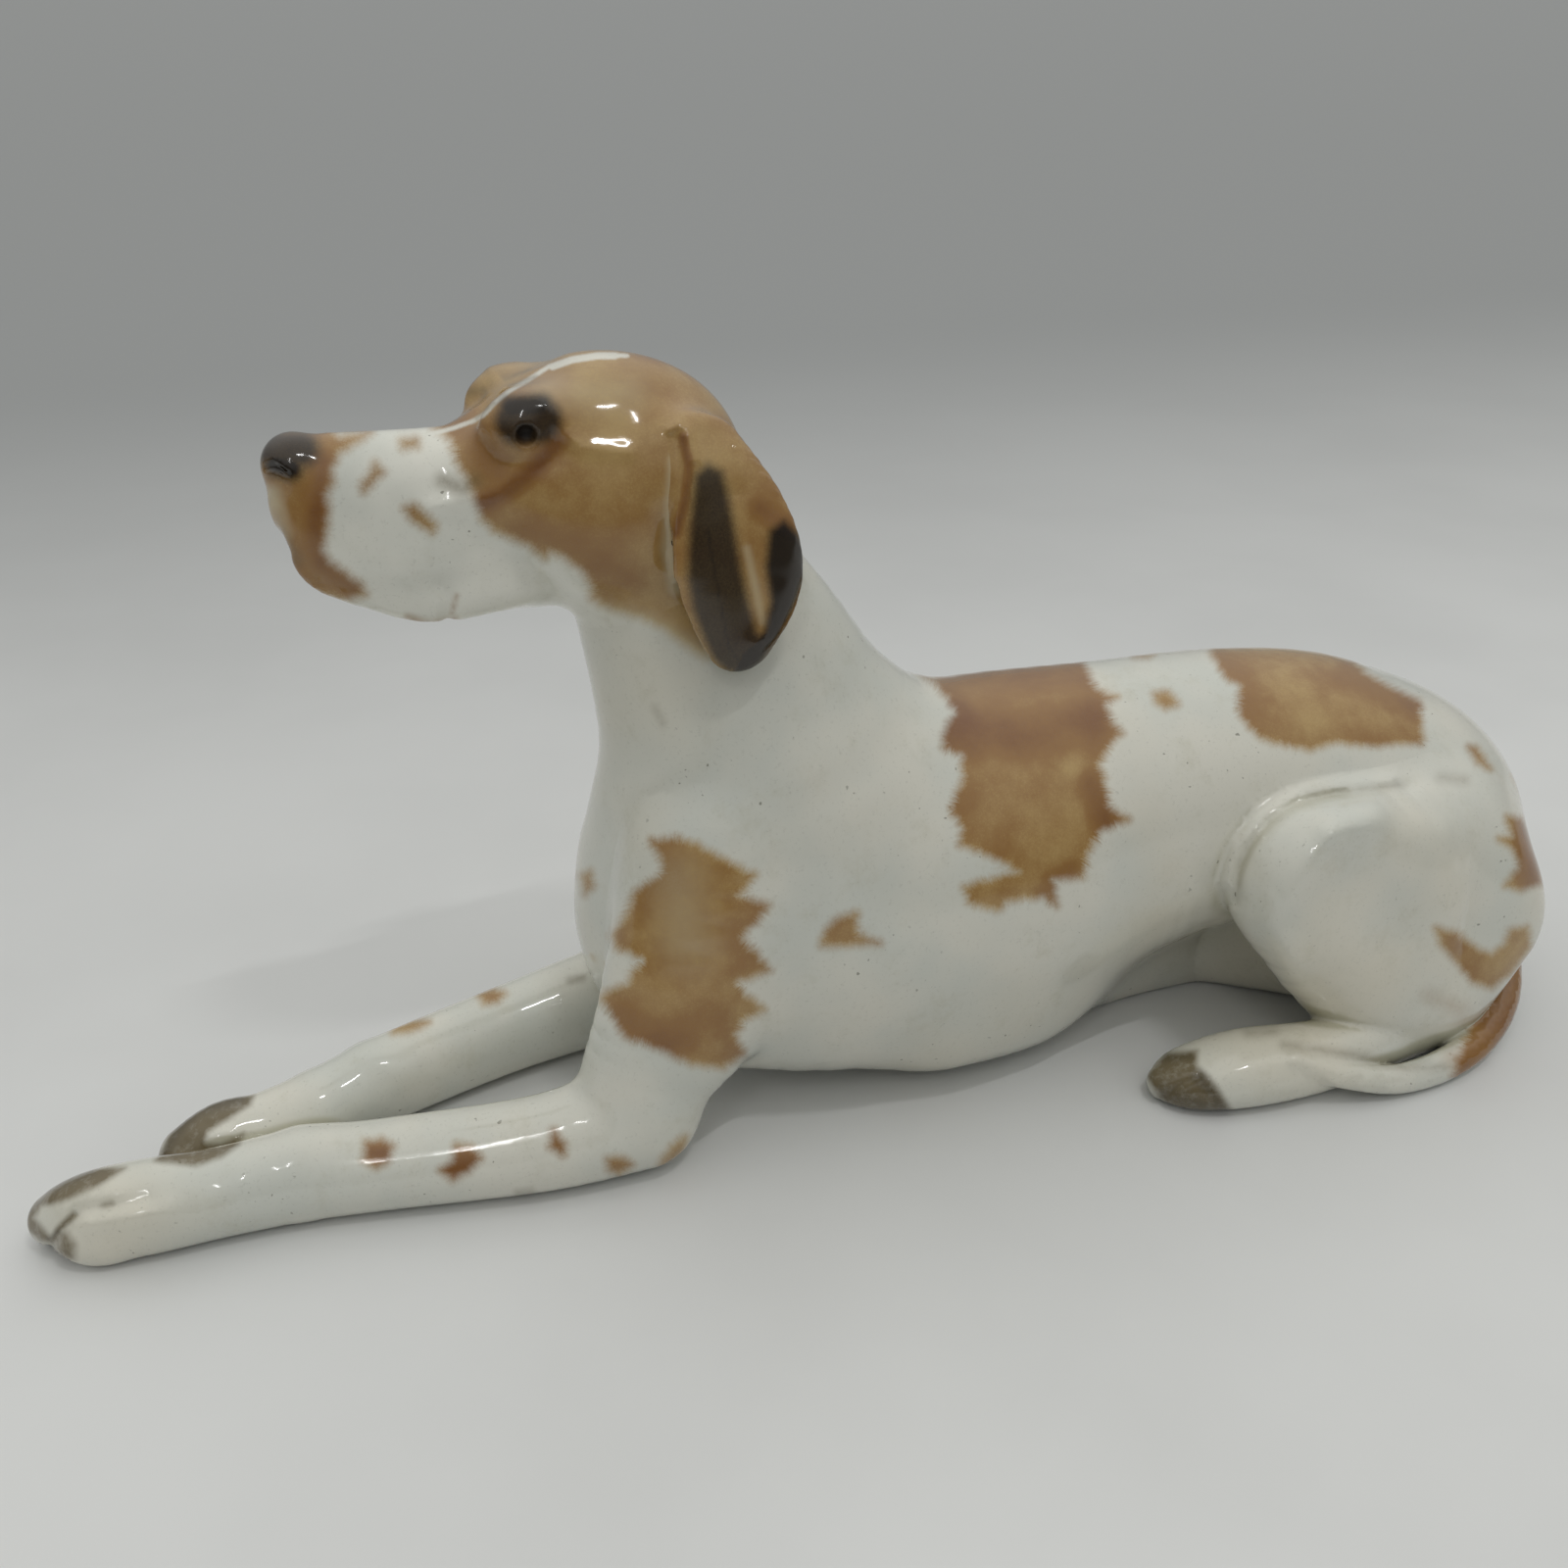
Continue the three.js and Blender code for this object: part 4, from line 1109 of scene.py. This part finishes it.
SADDLE_FOOT = [(1090, 890), (1066, 912)]
SHOULDER_FOOT = [(640, 1040), (680, 1060), (720, 1040)]
RUMP_TOP = [(1372, 690), (1440, 720)]
FIRST_SPOT_CORE = [(380, 1176), (392, 1178)]
SECOND_SPOT_CORE = [(466, 1190), (478, 1186)]
THIRD_SPOT_CORE = [(565, 1158), (570, 1172)]
TAIL_CORE = [(1540, 960), (1540, 1060), (1510, 1090)]
BUTTOCK_CORE = [(1560, 850), (1566, 900)]
THROAT_FADE = [(604, 628), (660, 640), (712, 668), (760, 690)]
BEHIND_CHEEK_FADE = [(690, 470), (686, 520), (682, 560), (690, 600)]
EAR_CHANNEL_FADE = [(762, 560), (770, 596), (778, 634)]
LIP_FADE = [(276, 505), (286, 545)]
CROWN_FADE = [(560, 400), (640, 400)]
SHOULDER_FADE = [(690, 900), (700, 960)]
CHIN_TINT = [(416, 630), (440, 637), (464, 632)]
LIP_CORNER_TINT = [(466, 608), (461, 626)]
LIP_TINT = [(280, 530), (292, 560)]
HOCK_TINT = [(1458, 1016), (1490, 1030)]
TAIL_TINT = [(1484, 1080), (1512, 1074)]

# The layer of each wash, its castings, its route, half its width and its soft edge in pixels, its strength.
DARK, OLIVE, DEEP, PALE, AMBER = LAYERS = ("dark", "olive", "deep", "pale", "amber")
WASHES = [
    (DARK, ON_HEAD, EYE_PATCH, 25, 16, 0.9),
    (DARK, ON_HEAD, UPPER_EYE_PATCH, 13, 16, 0.97),
    (DARK, ON_HEAD, PUPIL_PAINT, 9, 6, 1.0),
    (DARK, ON_HEAD, NOSE_TOP, 20, 20, 0.92),
    (DARK, ON_HEAD, NOSE_UNDERSIDE, 13, 16, 1.0),
    (DARK, ON_EAR, EAR_BLADE, -1, 16, 0.9),
    (DARK, ON_EAR, EAR_BLADE_CORE, 14, 36, 0.98),
    (DARK, ON_EAR, EAR_LOBE, 1, 13, 0.97),
    (OLIVE, ON_FORELEG, NEAR_PAW_TIP, 0, 10, 0.95),
    (DARK, ON_FORELEG, NEAR_PAW_RIM, 3, 14, 0.4),
    (OLIVE, ON_FORELEG, NEAR_TOE, 0, 14, 0.85),
    (DARK, ON_FORELEG, NEAR_TOE_END, 2, 14, 0.3),
    (OLIVE, ON_FORELEG, NEAR_TOE_LINE, 3, 8, 0.95),
    (DARK, ON_FORELEG, NEAR_TOE_CROOK, 1, 8, 0.5),
    (OLIVE, ON_FAR_PAW, FAR_PAW_TIP, 0, 10, 0.95),
    (DARK, ON_FAR_FORELEG, FAR_PAW_RIM, 5, 20, 0.45),
    (OLIVE, ON_FORELEG, NEAR_PAW_FLECK, 3, 8, 0.5),
    (OLIVE, ON_HIND_FOOT, HIND_TOE, 0, 10, 0.92),
    (DARK, ON_HIND_FOOT, HIND_TOE_EDGE, 6, 18, 0.5),
    (DARK, ON_HIND_FOOT, HIND_TOE_TOP, 2, 14, 0.45),
    (DARK, ON_HIND_FOOT, HIND_TOE_SIDE, 10, 30, 0.4),
    (OLIVE, ON_HOCK, HOCK_STAIN, 2, 22, 0.5),
    (OLIVE, ON_TAIL_GROOVE, TAIL_GROOVE_STAIN, 0, 24, 0.75),
    (OLIVE, ON_HEAD, CHEEK_STAIN, 6, 22, 0.6),
    (OLIVE, ON_HEAD, BLAZE_STAIN_LOW, 1, 7, 0.7),
    (OLIVE, ON_HEAD, BLAZE_STAIN_HIGH, 1, 7, 0.7),
    (OLIVE, ON_HAUNCH, CREASE_STAIN_MIDDLE, 1, 22, 0.5),
    (OLIVE, ON_HAUNCH, CREASE_STAIN_REAR, 1, 20, 0.35),
    (OLIVE, ON_HAUNCH, CREASE_STAIN_FRONT, 0, 20, 0.35),
    (OLIVE, ON_HAUNCH, CROUP_STAIN, 2, 22, 0.45),
    (OLIVE, ON_FORELEG, FOREARM_STAIN, 4, 9, 0.3),
    (OLIVE, ON_NECK, NECK_STAIN, 3, 12, 0.3),
    (OLIVE, ON_FAR_FORELEG, FAR_ELBOW_STAIN, 4, 9, 0.4),
    (OLIVE, ON_HEAD, LIP_STAIN, 7, 12, 0.35),
    (DEEP, ON_HEAD, UNDER_EYE_BAND, 9, 16, 0.85),
    (DEEP, ON_HEAD, EYE_CORNER_BAND, 10, 26, 0.4),
    (DEEP, ON_HEAD, MUZZLE_BAND, 9, 18, 0.6),
    (DEEP, ON_HEAD, CHEEK_BAND, 16, 40, 0.3),
    (DEEP, ON_HEAD, FOREHEAD_BAND, 20, 30, 0.5),
    (DEEP, ON_EAR, EAR_FRONT_BAND, 4, 6, 0.9),
    (DEEP, ON_EAR, EAR_REAR_BAND, 10, 18, 0.6),
    (DEEP, ON_TRUNK, SADDLE_BAND, 24, 44, 0.85),
    (DEEP, ON_TRUNK, SADDLE_TOP, 20, 30, 0.5),
    (DEEP, ON_TRUNK, SADDLE_REAR, 12, 22, 0.8),
    (DEEP, ON_TRUNK, SADDLE_FOOT, 10, 20, 0.4),
    (DEEP, ON_SHOULDER, SHOULDER_FOOT, 22, 34, 0.5),
    (DEEP, ON_HAUNCH, RUMP_TOP, 12, 20, 0.4),
    (DEEP, ON_FORELEG, FIRST_SPOT_CORE, 10, 20, 0.8),
    (DEEP, ON_FORELEG, SECOND_SPOT_CORE, 14, 20, 0.9),
    (DEEP, ON_FORELEG, THIRD_SPOT_CORE, 8, 20, 0.5),
    (DEEP, ON_TAIL, TAIL_CORE, 30, 30, 0.6),
    (DEEP, ON_HAUNCH, BUTTOCK_CORE, 14, 24, 0.6),
    (PALE, ON_HEAD_AND_NECK, THROAT_FADE, 10, 30, 0.95),
    (PALE, ON_HEAD, BEHIND_CHEEK_FADE, 7, 12, 0.75),
    (PALE, ON_EAR, EAR_CHANNEL_FADE, 4, 8, 0.5),
    (PALE, ON_HEAD, LIP_FADE, 9, 18, 0.8),
    (PALE, ON_HEAD, CROWN_FADE, 16, 50, 0.35),
    (PALE, ON_SHOULDER, SHOULDER_FADE, 26, 60, 0.4),
    (AMBER, ON_HEAD, CHIN_TINT, 2, 12, 0.85),
    (AMBER, ON_HEAD, LIP_CORNER_TINT, 1, 10, 0.7),
    (AMBER, ON_HEAD, LIP_TINT, 8, 18, 0.5),
    (AMBER, ON_THIGH, HOCK_TINT, 5, 26, 0.3),
    (AMBER, ON_TAIL_END, TAIL_TINT, 8, 24, 0.5),
]
BLAZE = [
    (440, 443), (462, 437), (482, 430), (494, 423), (505, 411), (521, 398), (540, 387), (560, 374),
    (583, 366), (610, 362), (640, 363),
]
BLAZE_CROWN = [(564, 374), (584, 367), (610, 363), (628, 363)]
BLAZE_HALF_WIDTH = 2.2  # pixels
BLAZE_CROWN_HALF_WIDTH = 3.6
ALL_PAINTED = 9.0  # millimetres inside any outline
TURNED_AWAY = 0.02  # cosine to the camera below which no patch is carried on to the surface
LEVEL_BRUSH = 0.3  # how brushed the level stretches of an edge are, beside the upright ones


def tan_edges(name, p, normals):
    """How far inside the tan each corner lies and how far round its outline, and how brushed its edge is."""
    if name.endswith("ear"):
        return np.full(len(p), ALL_PAINTED), np.zeros(len(p)), np.zeros(len(p))
    mirror = name in ("head", "right_hind_foot")
    q, scale = photo_pixels(to_left(p) if mirror else p)
    turned = normals * np.where(mirror & (p[:, 1] > 0), -1, 1)[:, None] ** (0, 1, 0)
    seen = facing_camera(to_left(p) if mirror else p, turned)
    edge = np.full(len(p), -ALL_PAINTED)
    stroke, brush = np.zeros(len(p)), np.zeros(len(p))
    faces_camera = (seen > TURNED_AWAY) | (name == "head")
    outlines = [
        (q, scale, outline, brushed, faces_camera) for names, outline, brushed in NEAR_TAN if name in names
    ]
    far_side = ~faces_camera & (p[:, 1] > 0)
    for names, outline in FAR_TAN:
        if name in names:
            outlines.append((p[:, [0, 2]], 1, through(outline + outline[:1]), 1.0, far_side))
    for place, scale, outline, brushed, where in outlines:
        inside, along, upright = outline_distance(place, outline)
        better = (inside / scale > edge) & where
        edge[better] = (inside / scale)[better]
        stroke[better] = (along / scale)[better]
        brush[better] = (brushed * (LEVEL_BRUSH + (1 - LEVEL_BRUSH) * upright))[better]
    return edge, stroke, brush


def blaze_edge(name, p):
    """How far inside the white stripe over the brow each corner lies, in millimetres."""
    if name != "head":
        return np.full(len(p), -ALL_PAINTED)
    q, scale = photo_pixels(p)
    thin, _, _ = outline_distance(q, BLAZE, closed=False)
    broad, _, _ = outline_distance(q, BLAZE_CROWN, closed=False)
    return np.maximum(thin + BLAZE_HALF_WIDTH, broad + BLAZE_CROWN_HALF_WIDTH) / scale


def wash(name, layer, p, normals):
    """How strong one airbrushed layer is on each corner."""
    mirror = name in ("head", "right_ear", "right_hind_foot")
    own = name.replace("right_", "left_") if mirror else name
    q, _ = photo_pixels(to_left(p) if mirror else p)
    strength = np.zeros(len(p))
    for its_layer, names, route, half, soft, amount in WASHES:
        if its_layer == layer and own in names:
            away, _, _ = outline_distance(q, route, closed=route[0] == route[-1])
            strength = np.maximum(strength, amount * smooth((half + away) / soft + 0.5))
    if name == "head" and layer == OLIVE:
        strength *= facing_camera(p, normals) > 0  # stains of the near side alone
    return strength


def hollowness(p, normals, reach=3.0, contrast=1.4):
    """1 in a sharp crease, 0 on an open surface."""
    return np.clip(contrast * (reach - whole(p + reach * normals)) / reach, 0, 1)


def in_pupil(p):
    """1 in the pierced pupil, which the glaze doesn't reach, 0 outside it."""
    return smooth(1.2 - 1.5 * pupil(to_left(p)))


def wiped_bare(p, normals):
    """1 on the flat foot that stands in the kiln, 0 off it."""
    return smooth(-normals[:, 2] * 4 - 3) * (p[:, 2] < 0.5)


def paint_layers(name, p, normals):
    """All that the glaze's material reads from the corners of a casting."""
    layers = dict(zip(("tan_edge", "stroke", "brush"), tan_edges(name, p, normals)))
    for layer in LAYERS:
        layers[layer] = wash(name, layer, p, normals)
    layers["blaze"] = blaze_edge(name, p)
    layers["hollow"] = hollowness(p, normals)
    layers["matt"] = in_pupil(p)
    layers["bare"] = wiped_bare(p, normals)
    return layers


# Shader maths.


class Value:
    """A shader socket that can be added, subtracted, multiplied and so on."""

    def __init__(self, tree, socket):
        self.tree = tree
        self.socket = socket

    def node(self, kind, settings=None, inputs=None, output=0):
        return shader_node(self.tree, kind, settings, inputs, output)

    def maths(self, operation, *terms):
        inputs = dict(enumerate(terms))
        return self.node("ShaderNodeMath", {"operation": operation}, inputs)

    def __add__(self, other):
        return self.maths("ADD", self, other)

    def __sub__(self, other):
        return self.maths("SUBTRACT", self, other)

    def __rsub__(self, other):
        return self.maths("SUBTRACT", other, self)

    def __mul__(self, other):
        return self.maths("MULTIPLY", self, other)

    __radd__ = __add__
    __rmul__ = __mul__

    def at_most(self, other):
        return self.maths("MINIMUM", self, other)

    def step(self, low, high):
        """0 below low and 1 above high, with a soft turn between them."""
        settings = {"interpolation_type": "SMOOTHSTEP"}
        return self.node("ShaderNodeMapRange", settings, {"Value": self, "From Min": low, "From Max": high})


def shader_node(tree, kind, settings=None, inputs=None, output=0):
    """One node: its settings are set first, then the values or links of its sockets."""
    node = tree.nodes.new(kind)
    for name, setting in (settings or {}).items():
        setattr(node, name, setting)
    for name, value in (inputs or {}).items():
        if isinstance(value, Value):
            tree.links.new(value.socket, node.inputs[name])
        else:
            node.inputs[name].default_value = value
    return Value(tree, node.outputs[output]) if node.outputs else None


def linear(red, green, blue):
    """A colour given as it shows on a screen, 0 to 255, for a shader."""
    shown = [channel / 255 for channel in (red, green, blue)]
    return tuple(c / 12.92 if c < 0.04 else ((c + 0.055) / 1.055) ** 2.4 for c in shown) + (1.0,)


def mixed(factor, first, second):
    tree = factor.tree
    settings = {"data_type": "RGBA", "clamp_factor": True}
    return shader_node(tree, "ShaderNodeMix", settings, {0: factor, 6: first, 7: second}, 2)


def noise(tree, vector, scale, detail=2.0, roughness=0.5):
    inputs = {"Vector": vector, "Scale": scale, "Detail": detail, "Roughness": roughness}
    return shader_node(tree, "ShaderNodeTexNoise", {}, inputs)


def attribute(tree, name):
    return shader_node(tree, "ShaderNodeAttribute", {"attribute_name": name}, {}, "Fac")


def new_material(name):
    """An empty material, its nodes, and the place on the piece that its patterns follow."""
    material = bpy.data.materials.new(name)
    material.use_nodes = True
    tree = material.node_tree
    tree.nodes.clear()
    return material, tree, shader_node(tree, "ShaderNodeTexCoord", {}, {}, "Object")


# The glaze and the paint.

WHITE_GLAZE = linear(219, 217, 205)
# Painted light: a lighter copy of the white glaze for the head, standing in for light that the head and
# muzzle lack.
PAINTED_LIGHT_WHITE_GLAZE = linear(231, 230, 219)
WARM_GLAZE = linear(218, 211, 192)
COOL_GLAZE = linear(207, 209, 200)
POOLED_GLAZE = linear(162, 158, 126)
STAINED_GLAZE = linear(176, 172, 146)
LIGHT_TAN = linear(180, 149, 92)
MID_TAN = linear(146, 104, 46)
DEEP_TAN = linear(114, 64, 10)
CREAM = linear(198, 184, 150)
BROWN_BLACK = linear(19, 12, 7)
OLIVE_GREY = linear(104, 90, 58)
GREY_SPECK = linear(104, 102, 88)
BISCUIT = linear(206, 203, 196)

# Scales of the patterns in the glaze, to a metre, and of those along a brushed edge, to a millimetre.
CLOUDS, WARM_CLOUDS, STAINS, LAID_COLOUR, SMEARS = 38, 17, 110, 70, 90
SPECK_FIELDS, BLOTCHES, SPECKS, FINE_SPECKS, GRAIN = 50, 500, 800, 1500, 2600
RIPPLES, FINE_RIPPLES = 70, 260
BRUSH_SWEEPS, BRUSH_TEETH, BRUSH_HAIRS = 0.2, 0.5, 2.7
ALONG_HAIRS = 0.14  # scale of the pattern along the marks of the hairs, beside that across them


def white_glaze(tree, place, tint, fine):
    """Clouded white, a little warmer and cooler from place to place, pooled green in the creases."""
    cloud = noise(tree, place, CLOUDS, 3)
    white = mixed(cloud.step(0.35, 0.68), tint, COOL_GLAZE)
    white = mixed(noise(tree, place, WARM_CLOUDS, 2).step(0.5, 0.75) * 0.7, white, WARM_GLAZE)
    pooled = (attribute(tree, "hollow") + (cloud - 0.5) * 0.3).step(0.2, 1.0) * 0.5
    white = mixed(pooled, white, POOLED_GLAZE)
    white = mixed(noise(tree, place, STAINS, 5, 0.75).step(0.5, 0.8) * 0.3, white, STAINED_GLAZE)
    white = mixed(fine.step(0.56, 0.75) * 0.18, white, GREY_SPECK)
    specks = noise(tree, place, SPECKS, 1).step(0.74, 0.79)
    specks = specks * noise(tree, place, SPECK_FIELDS, 2).step(0.45, 0.62)
    return mixed(specks * 0.7, white, GREY_SPECK)


def brushed_tan(tree, place, white, across, hairs, grain):
    """Tan on white: strokes run across the edge of each patch, and the colour lies unevenly inside it."""
    brush = attribute(tree, "brush")
    teeth = noise(tree, across, BRUSH_TEETH, 2) - 0.5
    feather = (noise(tree, across, BRUSH_SWEEPS, 1).step(0.42, 0.7) * 4.2 + 0.8) * brush
    inside = attribute(tree, "tan_edge")
    edge = inside + teeth * (brush * 1.8 + 0.5) + hairs * feather + (grain - 0.5) * 0.9
    laid = noise(tree, place, LAID_COLOUR, 4, 0.6) * 1.5 - 0.35
    laid = laid + grain * 0.55 + attribute(tree, "deep") * 0.9
    rim = edge.step(0.2, 1.2) * (1 - edge.step(1.6, 5.0))
    tan = mixed((laid + rim * 0.14).step(0.3, 1.0), LIGHT_TAN, MID_TAN)
    tan = mixed((laid + rim * 0.1).step(0.8, 1.9), tan, DEEP_TAN)
    tan = mixed(attribute(tree, "pale") + (grain - 0.5) * 0.3, tan, CREAM)
    colour = mixed(edge.step(-1.7, 1.0) * 0.97, white, tan)
    blaze = (attribute(tree, "blaze") + (grain - 0.5) * 0.3).step(-0.25, 0.25)
    return mixed(blaze * 0.88, colour, white)


def airbrushed(tree, place, colour, grain):
    """Soft tan, olive and brown-black over a colour, stippled where they thin out."""
    blotches = noise(tree, place, BLOTCHES, 3, 0.7) * 0.9 + 0.55
    colour = mixed((attribute(tree, "amber") * blotches).at_most(0.9), colour, MID_TAN)
    colour = mixed((attribute(tree, "olive") * blotches).at_most(0.94), colour, OLIVE_GREY)
    dark = attribute(tree, "dark")
    stipple = (grain - 0.5) * 1.2 * dark * (1 - dark)
    return mixed((dark + stipple).at_most(0.98), colour, BROWN_BLACK)


def porcelain(name, tint):
    """Clear gloss glaze over white porcelain and underglaze paint, wiped off the foot."""
    material, tree, place = new_material(name)
    fine = noise(tree, place, FINE_SPECKS, 3, 0.7)
    grain = noise(tree, place, GRAIN, 2, 0.8)
    stroke = attribute(tree, "stroke")
    inwards = attribute(tree, "tan_edge") * ALONG_HAIRS
    across = shader_node(tree, "ShaderNodeCombineXYZ", {}, {"X": stroke, "Y": inwards, "Z": 0.0})
    hairs = noise(tree, across, BRUSH_HAIRS, 3, 0.7) - 0.5
    colour = white_glaze(tree, place, tint, fine)
    colour = brushed_tan(tree, place, colour, across, hairs, grain)
    colour = airbrushed(tree, place, colour, grain)
    bare = attribute(tree, "bare")
    matt = attribute(tree, "matt")
    rough = noise(tree, place, SMEARS, 3) * 0.06 + fine * 0.03 + 0.05 + bare * 0.5 + matt * 0.5
    ripple = noise(tree, place, RIPPLES, 2) * 0.7 + noise(tree, place, FINE_RIPPLES, 1) * 0.12 + hairs * 0.03
    bump = shader_node(tree, "ShaderNodeBump", {}, {"Strength": 0.5, "Distance": 0.0003, "Height": ripple})
    surface = shader_node(tree, "ShaderNodeBsdfPrincipled", {}, {
        "Base Color": mixed(bare, colour, BISCUIT),
        "Roughness": rough,
        "IOR": 1.5,
        "Coat Weight": (1 - matt) * 0.2,
        "Coat Roughness": 0.03,
        "Normal": bump,
    })
    shader_node(tree, "ShaderNodeOutputMaterial", {}, {"Surface": surface})
    return material


MATERIALS = {
    "white_glaze": porcelain("white_glaze", WHITE_GLAZE),
    # The head's white is the lighter copy of the white glaze: painted light.
    "tan_glaze": porcelain("tan_glaze", PAINTED_LIGHT_WHITE_GLAZE),
    "dark_tan_glaze": porcelain("dark_tan_glaze", WHITE_GLAZE),
}
SLOT_OF = {row["node"]: row["material_slot"] for row in frame["record"]["subparts"]}


def lids_of(corners, quads):
    """The inner point of each lid that closes a casting behind its seams, and the lids' triangles."""
    behind, lids = [], []
    for loop in rim_loops(quads):
        inner = len(corners) + len(behind)
        behind.append(point_behind(corners[loop]))
        lids += [(after, before, inner) for before, after in zip(loop, loop[1:] + loop[:1])]
    return behind, lids


def add_casting(name, number):
    """One casting: its stretch of the skin, closed behind the seams."""
    corners, quads = own_mesh(skin_corners, skin_quads[owners == number])
    if name not in COARSE:
        corners, quads = refined(corners, quads)
    _, slope = value_and_slope(whole, corners)
    normals = evened(unit(slope), quads, SMOOTHING_COARSE if name in COARSE else SMOOTHING_FINE)
    layers = paint_layers(name, corners, normals)
    behind, lids = lids_of(corners, quads)
    if behind:
        corners = np.vstack([corners, behind])
        normals = np.vstack([normals, np.tile((0.0, 0.0, 1.0), (len(behind), 1))])
    mesh = bpy.data.meshes.new(name)
    mesh.from_pydata(((corners + ORIGIN) * MM).tolist(), [], quads.tolist() + lids)
    mesh.shade_smooth()
    mesh.normals_split_custom_set_from_vertices(normals.tolist())
    for layer, values in layers.items():
        filled = np.concatenate([values, np.zeros(len(behind))]).astype(np.float32)
        mesh.attributes.new(layer, "FLOAT", "POINT").data.foreach_set("value", filled)
    piece = bpy.data.objects.new(name + "_glazed", mesh)
    bpy.context.collection.objects.link(piece)
    mesh.materials.append(MATERIALS[SLOT_OF[name]])
    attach(piece, "root")
    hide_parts(name)


for number, name in enumerate(NAMES):
    add_casting(name, number)

# The camera stands where the photographer stood.

SENSOR_WIDTH = 36  # millimetres

camera_data = bpy.data.cameras.new("camera")
camera_data.sensor_width = SENSOR_WIDTH
camera_data.lens = SENSOR_WIDTH * FOCAL_PIXELS / PHOTO_SIZE
camera_data.clip_start = 0.01
camera = bpy.data.objects.new("camera", camera_data)
camera.location = (CAMERA_AT + ORIGIN) * MM
camera.rotation_euler = Euler((math.pi / 2 - CAMERA_PITCH, 0, CAMERA_AZIMUTH))
bpy.context.collection.objects.link(camera)
bpy.context.scene.camera = camera

# Studio: a pale table under a bright ceiling, darker behind the camera, and two small lamps that glint.

TABLE_SIZE = 40  # metres
TABLE_CLOUDS = 9  # to a metre
TABLE_COLOUR = linear(221, 222, 221)
TABLE_SHADE = linear(213, 214, 213)
# Painted shade: the table darkens far behind the figure and in front of it, towards the camera, where less
# light falls.
TABLE_FAR_PAINTED_SHADE = linear(152, 154, 154)
TABLE_FRONT_PAINTED_SHADE = linear(112, 111, 107)
FAR_FADE = (-0.05, 0.7)  # metres behind the figure between which the far painted shade comes in
FRONT_FADE = (0.18, 0.5)  # and in front of it

# How bright the room is everywhere, and what it adds above, at the back and on the right.
ROOM, ABOVE, BACK, RIGHT_HAND = 0.12, 0.85, 0.22, 0.08
LOW_COLOUR = linear(222, 224, 224)
HIGH_COLOUR = linear(236, 236, 233)

# A lamp's name, its place and what it is aimed at, its length and breadth, all in metres, and its watts.
LAMPS = [
    ("ceiling_lamp", (0.12, -0.42, 1.05), (0, 0, 0.05), (0.16, 0.009), 1.1),
    ("side_lamp", (-0.34, -0.68, 0.86), (-0.08, 0, 0.02), (0.013, 0.2), 0.42),
]


def add_table():
    material, tree, place = new_material("pale_table")
    cloud = noise(tree, place, TABLE_CLOUDS, 4)
    colour = mixed(cloud.step(0.3, 0.75), TABLE_COLOUR, TABLE_SHADE)
    back = shader_node(tree, "ShaderNodeSeparateXYZ", {}, {0: place}, "Y")
    # Painted shade on the table, far behind the figure and towards the camera.
    colour = mixed(back.step(*FAR_FADE), colour, TABLE_FAR_PAINTED_SHADE)
    colour = mixed((0 - back).step(*FRONT_FADE), colour, TABLE_FRONT_PAINTED_SHADE)
    surface = shader_node(tree, "ShaderNodeBsdfPrincipled", {}, {"Base Color": colour, "Roughness": 0.6})
    shader_node(tree, "ShaderNodeOutputMaterial", {}, {"Surface": surface})
    bpy.ops.mesh.primitive_plane_add(size=TABLE_SIZE)
    table = bpy.context.object
    table.name = "table"
    table.data.materials.append(material)


def add_lamp(name, at, aim, size, power):
    """A rectangular lamp."""
    data = bpy.data.lights.new(name, "AREA")
    data.shape = "RECTANGLE"
    data.size, data.size_y = size
    data.energy = power
    lamp = bpy.data.objects.new(name, data)
    lamp.location = at
    lamp.rotation_euler = (Vector(aim) - Vector(at)).to_track_quat("-Z", "Y").to_euler()
    bpy.context.collection.objects.link(lamp)


def add_world():
    """A room that is bright above and at the back and dims towards the camera and the left."""
    world = bpy.data.worlds.new("studio")
    world.use_nodes = True
    tree = world.node_tree
    tree.nodes.clear()
    looking = shader_node(tree, "ShaderNodeTexCoord", {}, {}, "Generated")
    parts = shader_node(tree, "ShaderNodeSeparateXYZ", {}, {0: looking}, "X")
    across, back, up = (Value(tree, parts.socket.node.outputs[axis]) for axis in "XYZ")
    height = up.step(0.0, 1.0)
    strength = height * ABOVE + back.step(-0.5, 0.7) * BACK + across.step(-0.8, 0.2) * RIGHT_HAND + ROOM
    colour = mixed(height, LOW_COLOUR, HIGH_COLOUR)
    background = shader_node(tree, "ShaderNodeBackground", {}, {"Color": colour, "Strength": strength})
    shader_node(tree, "ShaderNodeOutputWorld", {}, {"Surface": background})
    bpy.context.scene.world = world


add_table()
add_world()
for lamp in LAMPS:
    add_lamp(*lamp)

bpy.context.scene.view_settings.view_transform = "Standard"
